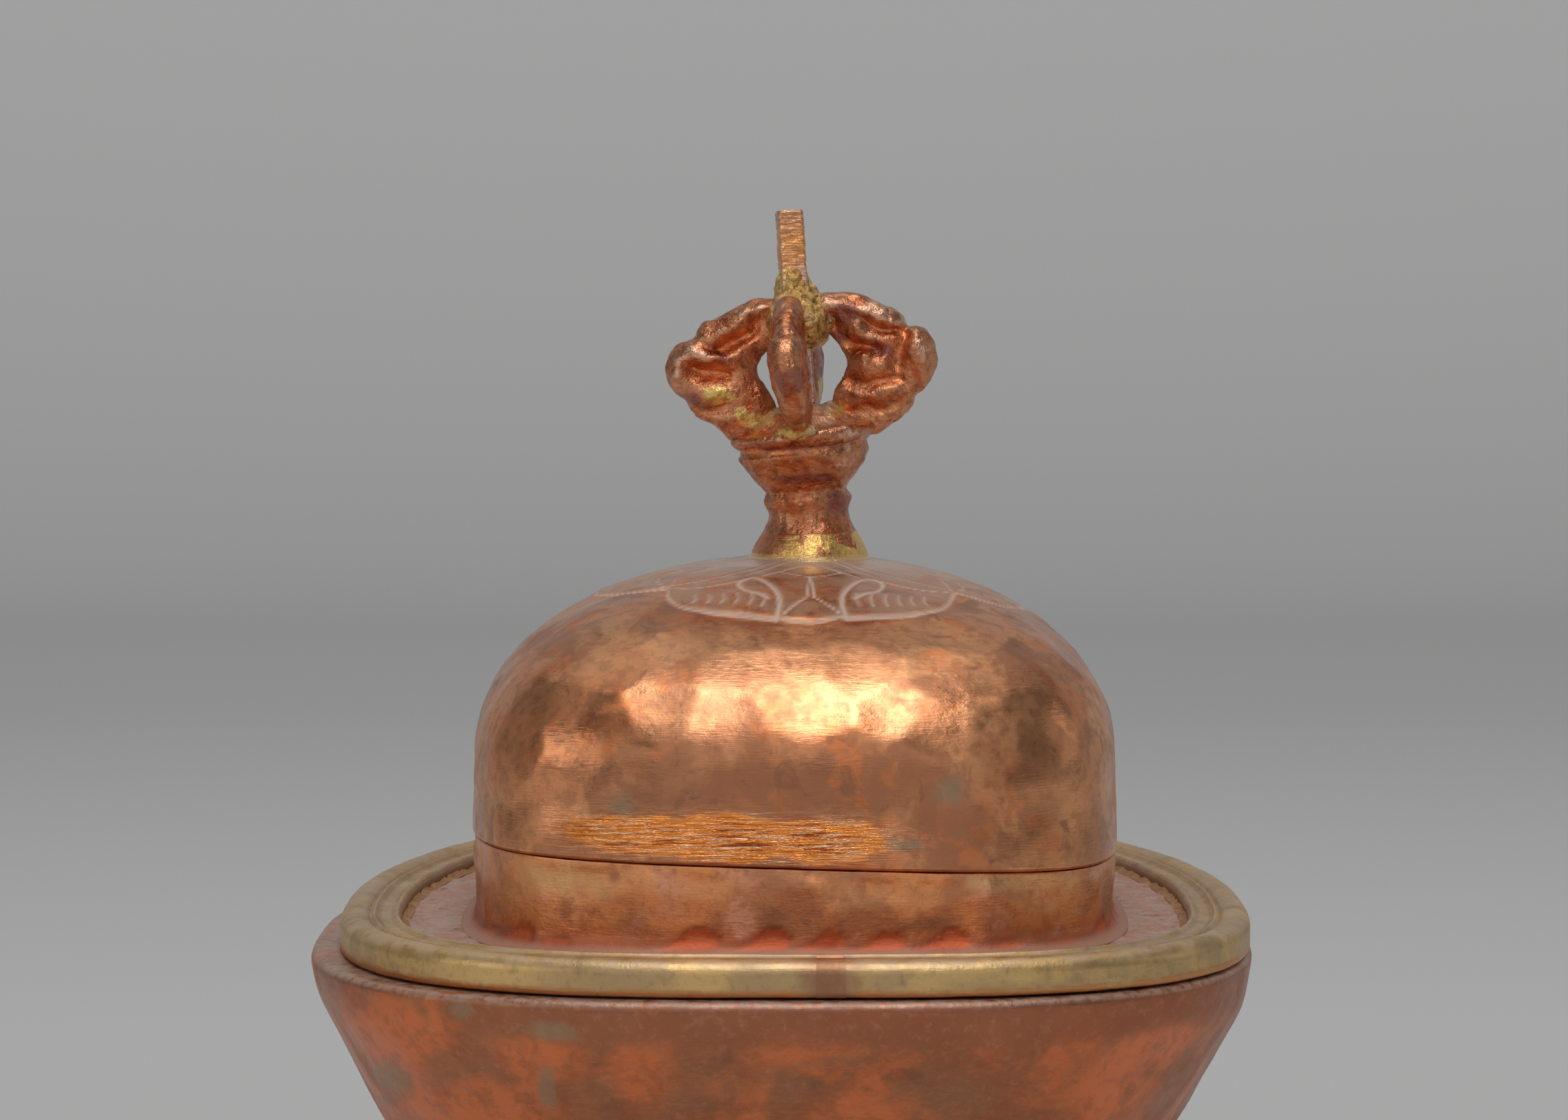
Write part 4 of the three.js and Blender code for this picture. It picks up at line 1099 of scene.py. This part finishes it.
cast_film = broken("dust", 1.8, 69, 0.2, 0.75)
cast = Finish(
    "rough_cast_copper", cast_orange, 0.2,
    ("tint", cast_red, cloud(4, 0.42, 0.66, 71, 6, 0.5)),
    ("tint", cast_grey, cloud(5, 0.54, 0.72, 72, 6)),
    # Painted glow in the hollows, as of light bounced between copper walls.
    ("tint", cast_glow, "cave", 0.65),
    ("tint", cast_light, cloud(0.9, 0.52, 0.68, 73, 6), 0.6),
    ("tint", cast_brown, cloud(3, 0.5, 0.64, 79, 8), 0.6),
    ("tint", cast_oxide, broken("oxide", 2, 70, 0.3, 0.8), 0.8),
    ("tint", cast_rubbed, "worn", 0.4),
    ("tint", cast_bright, broken("worn", 0.9, 74, 0.65, 1.15), 0.8),
    ("tint", braze_yellow, broken("gold", 1.6, 75, 0.35, 0.65)),
    ("tint", cast_dark, cloud(1.3, 0.5, 0.64, 76, 8), 0.6),
    ("polish", 0.32, cloud(2.5, 0.45, 0.7, 78)),
    ("polish", 0.14, "worn"),
    ("tint", cast_dust, cast_film, 0.8),
    ("cover", 0.2, cast_film, 0.75),
    ("rise", 0.022, cloud(0.32, 0.35, 0.7, 67, 3)),
    ("rise", 0.06, cloud(0.6, 0.3, 0.7, 77)))
fit(knob_base, cast, "lid", "finial_base")

rove_low, rove_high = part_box("tang_rove")
rove_outline = eased([(tang_hole, rove_low.z), (rove_radius, rove_low.z), (rove_radius, rove_high.z),
                      (tang_hole, rove_high.z)], 0.25 * mm, 4)
rove_rings = lathe(rove_outline, 96) + (finial_foot[0], 0, 0)
rove = skin("tang_washer", rove_rings, loop=True)
mark(rove, dust=0 * rove_rings[..., 0])
fit(rove, rim_brass, "lid", "tang_rove")


# The prongs: four curved arms cast apart from the base, each with a bump, a notch and a broad bulge like an ear,
# and folds modelled along its sides. They rise from the cup's lip and close on the bar.
prong_levels = 170
prong_sides = 100
cage_turn = math.radians(-3.4)
prong_edges = {
    "left": (
        ((1.0, 37.6), (5.8, 38.0), (7.3, 37.4), (9.1, 36.6), (10.9, 35.7), (12.2, 35.2), (13.5, 35.0), (14.4, 34.0),
         (14.8, 32.9), (16.1, 32.3), (17.5, 31.9), (18.6, 30.9), (19.4, 29.2), (19.5, 27.6), (19.0, 26.0),
         (18.0, 24.7), (16.7, 23.5), (16.0, 22.2), (15.4, 21.3), (13.7, 20.2), (12.0, 19.0), (10.6, 17.4)),
        ((1.0, 31.4), (2.8, 31.2), (3.9, 30.6), (4.7, 30.0), (5.3, 29.4), (5.6, 29.0), (5.85, 28.6), (6.0, 28.2),
         (6.1, 27.8), (6.15, 27.4), (6.15, 27.1), (6.1, 26.8), (6.0, 26.5), (5.85, 26.1), (5.65, 25.7),
         (5.4, 25.2), (5.1, 24.6), (4.75, 24.0), (4.4, 23.2), (4.0, 22.2), (3.7, 20.4), (3.8, 17.4))),
    "right": (
        ((1.0, 37.8), (6.9, 38.1), (9.4, 37.7), (11.1, 36.7), (12.8, 35.9), (14.2, 35.2), (15.3, 34.2),
         (15.9, 32.8), (16.4, 32.3), (17.5, 32.3), (18.6, 31.9), (19.5, 30.8), (20.2, 29.5), (20.4, 28.1),
         (20.0, 26.4), (19.0, 24.5), (18.0, 23.3), (16.8, 22.3), (16.2, 20.9), (15.0, 19.7), (13.4, 18.6),
         (11.0, 17.2)),
        ((1.0, 33.2), (3.2, 33.0), (4.5, 32.4), (5.3, 31.6), (5.8, 30.9), (6.2, 30.3), (6.5, 29.7), (6.8, 29.1),
         (7.0, 28.5), (7.05, 28.0), (7.0, 27.5), (6.8, 27.0), (6.6, 26.5), (6.3, 26.0), (6.0, 25.4), (5.6, 24.9),
         (5.2, 24.3), (4.9, 23.7), (4.6, 22.8), (4.2, 21.7), (3.8, 20.2), (3.8, 17.2))),
}
prong_edges["front"] = prong_edges["back"] = (np.array(prong_edges["left"]) + prong_edges["right"]) / 2
side_thickness = (4.2, 4.6, 4.9, 4.4, 5.2, 5.9, 5.8, 5.5, 5.6, 5.2, 4.4, 4.0)
front_thickness = (3.6, 4.1, 4.4, 4.5, 4.4, 4.1, 3.9, 4.3, 5.0, 5.5, 5.7, 5.8, 5.8, 5.7, 5.5, 5.4, 5.2, 4.9, 4.6,
                   4.0, 3.4, 3.0)
prong_thickness = {"left": side_thickness, "right": side_thickness, "front": front_thickness,
                   "back": front_thickness}
prong_drift = {"left": 0, "right": 0, "front": 0.7 * mm, "back": 0}
prong_notch = {"left": 0, "right": 0, "front": 0.9 * mm, "back": 0.9 * mm}
prong_folds = {
    "left": (
        (0.8, 1.2, ((3.5, 36.6), (8.8, 34.8), (13.2, 32.9))),
        (-1.1, 1.1, ((5.8, 33.4), (9.5, 31.8), (12.2, 31.2))),
        (0.5, 0.9, ((6.6, 31.2), (9.0, 30.6), (11.4, 29.8))),
        (0.8, 1.1, ((18.0, 27.6), (17.0, 29.9), (14.8, 30.4), (12.4, 29.8))),
        (-1.2, 1.2, ((14.8, 28.0), (12.6, 27.3), (10.6, 26.9))),
        (0.5, 1.9, ((15.5, 25.4), (12.0, 23.9))),
        (-0.6, 0.8, ((15.4, 22.6), (13.0, 22.0), (10.8, 22.4))),
        (0.4, 1.2, ((12.8, 20.6), (9.0, 20.9)))),
    "right": (
        (0.8, 1.2, ((4.0, 36.2), (9.0, 35.9), (13.4, 34.4), (15.0, 33.4))),
        (-0.8, 0.8, ((10.2, 33.4), (13.0, 32.6), (15.6, 31.9))),
        (0.6, 0.8, ((8.4, 32.8), (12.6, 31.2))),
        (-1.1, 1.1, ((5.4, 33.0), (8.1, 31.0), (11.4, 29.7))),
        (0.6, 1.6, ((17.6, 30.8), (18.4, 28.4))),
        (-0.9, 0.9, ((16.2, 31.4), (15.2, 29.2), (14.6, 27.4))),
        (0.7, 1.6, ((9.2, 28.0), (12.2, 26.8))),
        (-0.7, 0.8, ((7.6, 25.6), (11.0, 24.7), (14.8, 25.2))),
        (0.5, 1.3, ((9.0, 22.8), (13.4, 23.2))),
        (-0.5, 0.8, ((6.0, 21.4), (10.0, 20.9), (13.6, 21.3)))),
    "front": (),
    "back": (),
}
prong_gold = {
    "left": ((11.9, 24.2, 2.4, 1.6), (8.6, 21.6, 1.2, 1.0), (7.2, 20.4, 2.2, 1.3)),
    "right": ((4.9, 21.0, 1.3, 1.6), (3.0, 34.0, 2.0, 3.0)),
    "front": ((11.4, 19.0, 1.6, 1.0),),
    "back": ((12.0, 18.2, 2.0, 0.9), (9.0, 24.0, 2.0, 2.0)),
}
prong_oxide = {
    "left": ((11.0, 29.6, 1.5, 1.2), (15.6, 24.0, 1.5, 1.2)),
    "right": ((7.5, 34.8, 3.2, 2.0), (6.2, 31.6, 1.6, 1.4), (12.5, 29.5, 2.4, 1.2)),
    "front": ((19.2, 25.6, 2.4, 2.6),),
    "back": ((14.0, 28.0, 12.0, 9.0),),
}


def turned(rings, heading):
    """The rings turned about the upright axis by an angle."""
    x, y, z = np.moveaxis(rings, -1, 0)
    return np.stack([x * math.cos(heading) - y * math.sin(heading),
                     x * math.sin(heading) + y * math.cos(heading), z], -1)


def prong(side, order):
    """One arm, lofted along its length through rounded sections between its outer and inner edge.

    A section's points are the powers of cosine and sine about its middle: the cosine goes from the inner to the
    outer edge, and the sine across the arm's thickness. Folds along its sides add height * exp(-(d / width) ** 2),
    where d is the distance from a line drawn in the arm's own reach and height. The marks lie there too.
    """
    seed = 81 + 12 * order
    outer, inner = (smooth_line(np.array(edge) * mm, prong_levels) for edge in prong_edges[side])
    share = np.linspace(0, 1, prong_levels)
    outer[:, 0] -= prong_notch[side] * hump(share, 0.28, 0.035)
    widths = prong_thickness[side]
    thick = np.interp(share, np.linspace(0, 1, len(widths)), widths)[:, None] * mm
    angle = np.linspace(0, turn, prong_sides, endpoint=False)
    along, across = (np.sign(wave) * np.abs(wave) ** 0.8 for wave in (np.cos(angle), np.sin(angle)))
    middle, half = (outer + inner) / 2, (outer - inner) / 2
    reach = middle[:, :1] + half[:, :1] * along
    height = middle[:, 1:] + half[:, 1:] * along
    shake = 0.6 * grain(np.stack([reach, 0 * reach, height], -1), 2.4 * mm, seed + 7)
    folds = np.zeros(reach.shape)
    for rise, width, line in prong_folds[side]:
        far = distance_to_line(reach / mm + shake, height / mm + shake, smooth_line(line, 8))
        folds += 1.15 * rise * mm * hump(far, 0, 1.1 * width)
    rings = np.stack([reach, across * (thick / 2 + folds), height], -1)
    rings[..., 1] -= prong_drift[side] * fade(rings[..., 2], 18, 31)
    skin_height = roughcast(rings + seed, seed) + bumps(rings, (0.22, 4.2, seed + 9))
    rings = raised(rings, skin_height)
    piece = skin("cast_prong_" + side, lean_over(turned(rings, cage_turn + order * turn / 4)))
    gold, oxide = (np.max([hump(reach / mm, out, wide) * hump(height / mm, up, high)
                           for out, up, wide, high in places[side]], axis=0)
                   for places in (prong_gold, prong_oxide))
    # Painted glow in the arm's hollows and between its folds.
    mark(piece, gold=gold, oxide=oxide, cave=fade(-skin_height - 0.8 * folds, -0.05, 0.8),
         worn=np.clip(fade(skin_height + 0.6 * folds, 0.05, 0.7) + 0.3 * ease(along, 0.85, 1.0), 0, 1),
         dust=0.35 * fade(rings[..., 2], 35, 39) * (along > 0.5))
    return piece


for order, side in enumerate(("right", "back", "left", "front")):
    fit(prong(side, order), cast, "lid", "prong_" + side)


# The bar: square, filed by hand across its length so that its faces are ribbed, and turned a little. Its lower end
# stands in the cup's socket.
bar_half = 1.87 * mm
bar_turn = math.radians(8)
bar_bottom = 14.9 * mm
bar_top = 50.4 * mm
bar_levels = 330
bar_sides = 80
bar_squareness = 14
bar_orange = (0.84, 0.37, 0.17)
bar_brown = (0.66, 0.31, 0.16)
bar_tip_brown = (0.6, 0.32, 0.19)
bar_glow = (0.97, 0.42, 0.13)
bar_pink = (0.95, 0.62, 0.47)
bar_edge = (0.95, 0.64, 0.46)
bar_groove = (0.44, 0.19, 0.1)
bar_ridge = (0.96, 0.62, 0.42)

bar_angle = np.linspace(0, turn, bar_sides, endpoint=False)
square_reach = (np.abs(np.cos(bar_angle)) ** bar_squareness
                + np.abs(np.sin(bar_angle)) ** bar_squareness) ** (-1 / bar_squareness)
levels = np.concatenate([
    [bar_bottom + 0.01 * mm], np.linspace(bar_bottom, bar_top, bar_levels), np.full(8, bar_top)])
draw_in = np.concatenate([[0.8], np.ones(bar_levels - 3), [0.985, 0.955, 0.92], np.linspace(0.85, 0.1, 8)])
bar_rings = lathe(np.stack([bar_half * draw_in, levels], 1), bar_sides)
bar_rings[..., :2] *= square_reach[:, None]
file_marks = (bumps(bar_rings * (0.3, 0.3, 1) + 0.12 * bar_rings[..., :1] * (0, 0, 1), (0.07, 0.45, 131))
              + bumps(bar_rings * (0.25, 0.25, 1), (0.04, 0.22, 132)) + bumps(bar_rings, (0.12, 4, 133)))
bar_rings = raised(bar_rings, file_marks * (draw_in > 0.9)[:, None])
bar_x, bar_y, bar_up = np.moveaxis(bar_rings, -1, 0)
bar = skin("filed_square_bar", lean_over(turned(bar_rings, bar_turn)))
mark(bar, glow=hump(bar_up, 45.2 * mm, 2.6 * mm), gold=fade(bar_up, 44, 40.5) * fade(-bar_x, -0.2, 1),
     # Painted highlight low on the bar's right side.
     pink=fade(bar_up, 43.6, 41.5) * fade(bar_x, -0.3, 0.8), brown=fade(bar_up, 46.5, 49),
     edge=ease(np.hypot(bar_x, bar_y), 1.28 * bar_half, 1.38 * bar_half))
filed = Finish(
    "filed_bar_copper", bar_orange, 0.26,
    ("tint", bar_brown, cloud(2.5, 0.42, 0.66, 81, stretch=2)),
    ("tint", bar_tip_brown, "brown", 0.6),
    ("tint", bar_glow, "glow", 0.85),
    # Painted highlight low on the bar's right side.
    ("tint", bar_pink, "pink", 0.8),
    ("tint", braze_yellow, broken("gold", 1.5, 82, 0.35, 0.75)),
    ("tint", bar_edge, "edge", 0.7),
    ("tint", bar_groove, cloud(0.22, 0.47, 0.62, 83, stretch=9), 0.75),
    ("tint", bar_ridge, cloud(0.26, 0.55, 0.66, 86, stretch=9), 0.5),
    ("polish", 0.4, cloud(1.5, 0.4, 0.65, 84)),
    ("rise", 0.04, cloud(0.22, 0.35, 0.65, 85, 3, 0, 12)))
fit(bar, filed, "lid", "spire_bar")


# The brazing metal: grainy yellow brass that was melted in round the bar where the four arms meet it, and run in
# round the base's foot and at the feet of the front and back arms. The film at the foot is burnished.
crown_profile = ((29.4, 1.2), (30.2, 2.7), (31.2, 3.9), (32.4, 4.7), (34.0, 5.2), (35.6, 5.1), (36.8, 4.5),
                 (37.8, 3.8), (38.8, 3.1), (39.8, 2.55), (40.8, 2.25), (41.8, 1.9), (42.0, 1.2))
film_top = 3.7
film_thickness = 0.04 * mm
film_heading = math.radians(20)
film_columns = 360
brass_yellow = (0.74, 0.44, 0.15)
brass_light = (0.94, 0.61, 0.21)
brass_brown = (0.66, 0.44, 0.27)
brass_hollow = (0.26, 0.16, 0.05)
brass_dark = (0.24, 0.14, 0.05)
brass_bright = (0.9, 0.64, 0.27)
film_gold = (0.97, 0.59, 0.19)
film_orange = (0.78, 0.42, 0.2)
pale_dust = (0.52, 0.38, 0.3)


def brass_lump(name, rings, seed, roughness):
    """A closed lump of brazing metal whose skin is broken up by noise of 1.7 and 0.7 mm grain."""
    lumps = roughness * bumps(rings, (0.28, 1.7, seed), (0.17, 0.7, seed + 1))
    piece = skin(name, lean_over(raised(rings, lumps)))
    mark(piece, bright=fade(lumps, 0.08, 0.4), hollow=fade(-lumps, 0.05, 0.4))
    return piece


def ball(place, half):
    """Rings of an ellipsoid about a place, with its half sizes along X, Y and Z, in mm."""
    polar = np.linspace(0.02, 0.98, 48) * turn / 2
    return (lathe(np.stack([np.sin(polar), np.cos(polar)], 1), 72) * half + place) * mm


lump_rings = lathe(smooth_line(np.array(crown_profile)[:, ::-1] * mm, 110), 200)
lump_rings[..., 0] += 0.45 * mm * fade(lump_rings[..., 2], 41, 37)
crown_brass = brass_lump("crown_brazing", lump_rings, 141, 1.4)
front_brass = brass_lump("front_prong_brazing", ball((-0.8, -11.0, 18.6), (3.1, 1.5, 1.2)), 145, 1.0)
back_brass = brass_lump("back_prong_brazing", ball((0.8, 11.0, 18.6), (3.1, 1.5, 1.2)), 147, 1.0)
brass = Finish(
    "grainy_brazing_brass", brass_yellow, 0.3,
    ("tint", brass_light, cloud(1.6, 0.44, 0.66, 91, 6)),
    ("tint", brass_brown, cloud(2.4, 0.5, 0.72, 92, 6)),
    ("tint", brass_hollow, "hollow", 0.85),
    ("tint", brass_dark, cloud(0.7, 0.52, 0.66, 93, 6)),
    ("tint", brass_bright, "bright", 0.6),
    ("polish", 0.24, "bright"),
    ("rise", 0.12, cloud(0.5, 0.3, 0.7, 94, 5)))

film_side = base_outline[(base_outline[:, 1] >= 0) & (base_outline[:, 1] < film_top * mm)
                         & (base_outline[:, 0] > 6.1 * mm)]
film_outline = divided(np.vstack([
    [(9.1 * mm, -0.9 * mm), (8.95 * mm, -0.3 * mm)], film_side + (film_thickness, 0),
    film_side[::-1] - (0.5 * mm, 0), [(8 * mm, -0.9 * mm)]]), 0.25 * mm)
film_rings = lathe(film_outline, film_columns)
film_wear = bumps(film_rings, (0.03, 1.6, 143)) + bumps(film_rings * (0.3, 0.3, 1), (0.02, 0.4, 144))
foot_brass = skin("foot_brazing_film", lean_over(raised(film_rings, film_wear, loop=True)), loop=True)
film_up = film_rings[..., 2]
# On one side the film is gold nearly to its top, as brass colour and as a painted highlight on the side that faces
# the light; round its lower edge it is gold all round.
film_highlight_side = ease(np.cos(np.linspace(0, turn, film_columns, endpoint=False) + film_heading), -0.4, 0.1)
mark(foot_brass, gold=np.maximum(film_highlight_side * fade(film_up, film_top, 3.1), fade(film_up, 0.9, 0.3)),
     dust=0.9 * fade(film_up, 0.5, -0.1))
film = Finish(
    "burnished_foot_brass", cast_orange, 0.34,
    ("tint", cast_red, cloud(4, 0.42, 0.66, 71, 6, 0.5)),
    # Gold brass, and on one side a painted highlight.
    ("tint", film_gold, broken("gold", 1.8, 95, 0.25, 0.85)),
    ("tint", film_orange, cloud(1.2, 0.58, 0.72, 96, 6)),
    ("polish", 0.22, "gold"),
    ("tint", pale_dust, "dust", 0.6),
    ("cover", 0.2, "dust", 0.6),
    ("rise", 0.02, cloud(0.25, 0.4, 0.65, 98, 3, 0, 9)),
    ("rise", 0.05, cloud(0.8, 0.35, 0.7, 99, 5)))
for lump, finish, node in ((crown_brass, brass, "crown_braze"), (foot_brass, film, "foot_braze"),
                           (front_brass, brass, "front_prong_braze"), (back_brass, brass, "back_prong_braze")):
    fit(lump, finish, "lid", node)
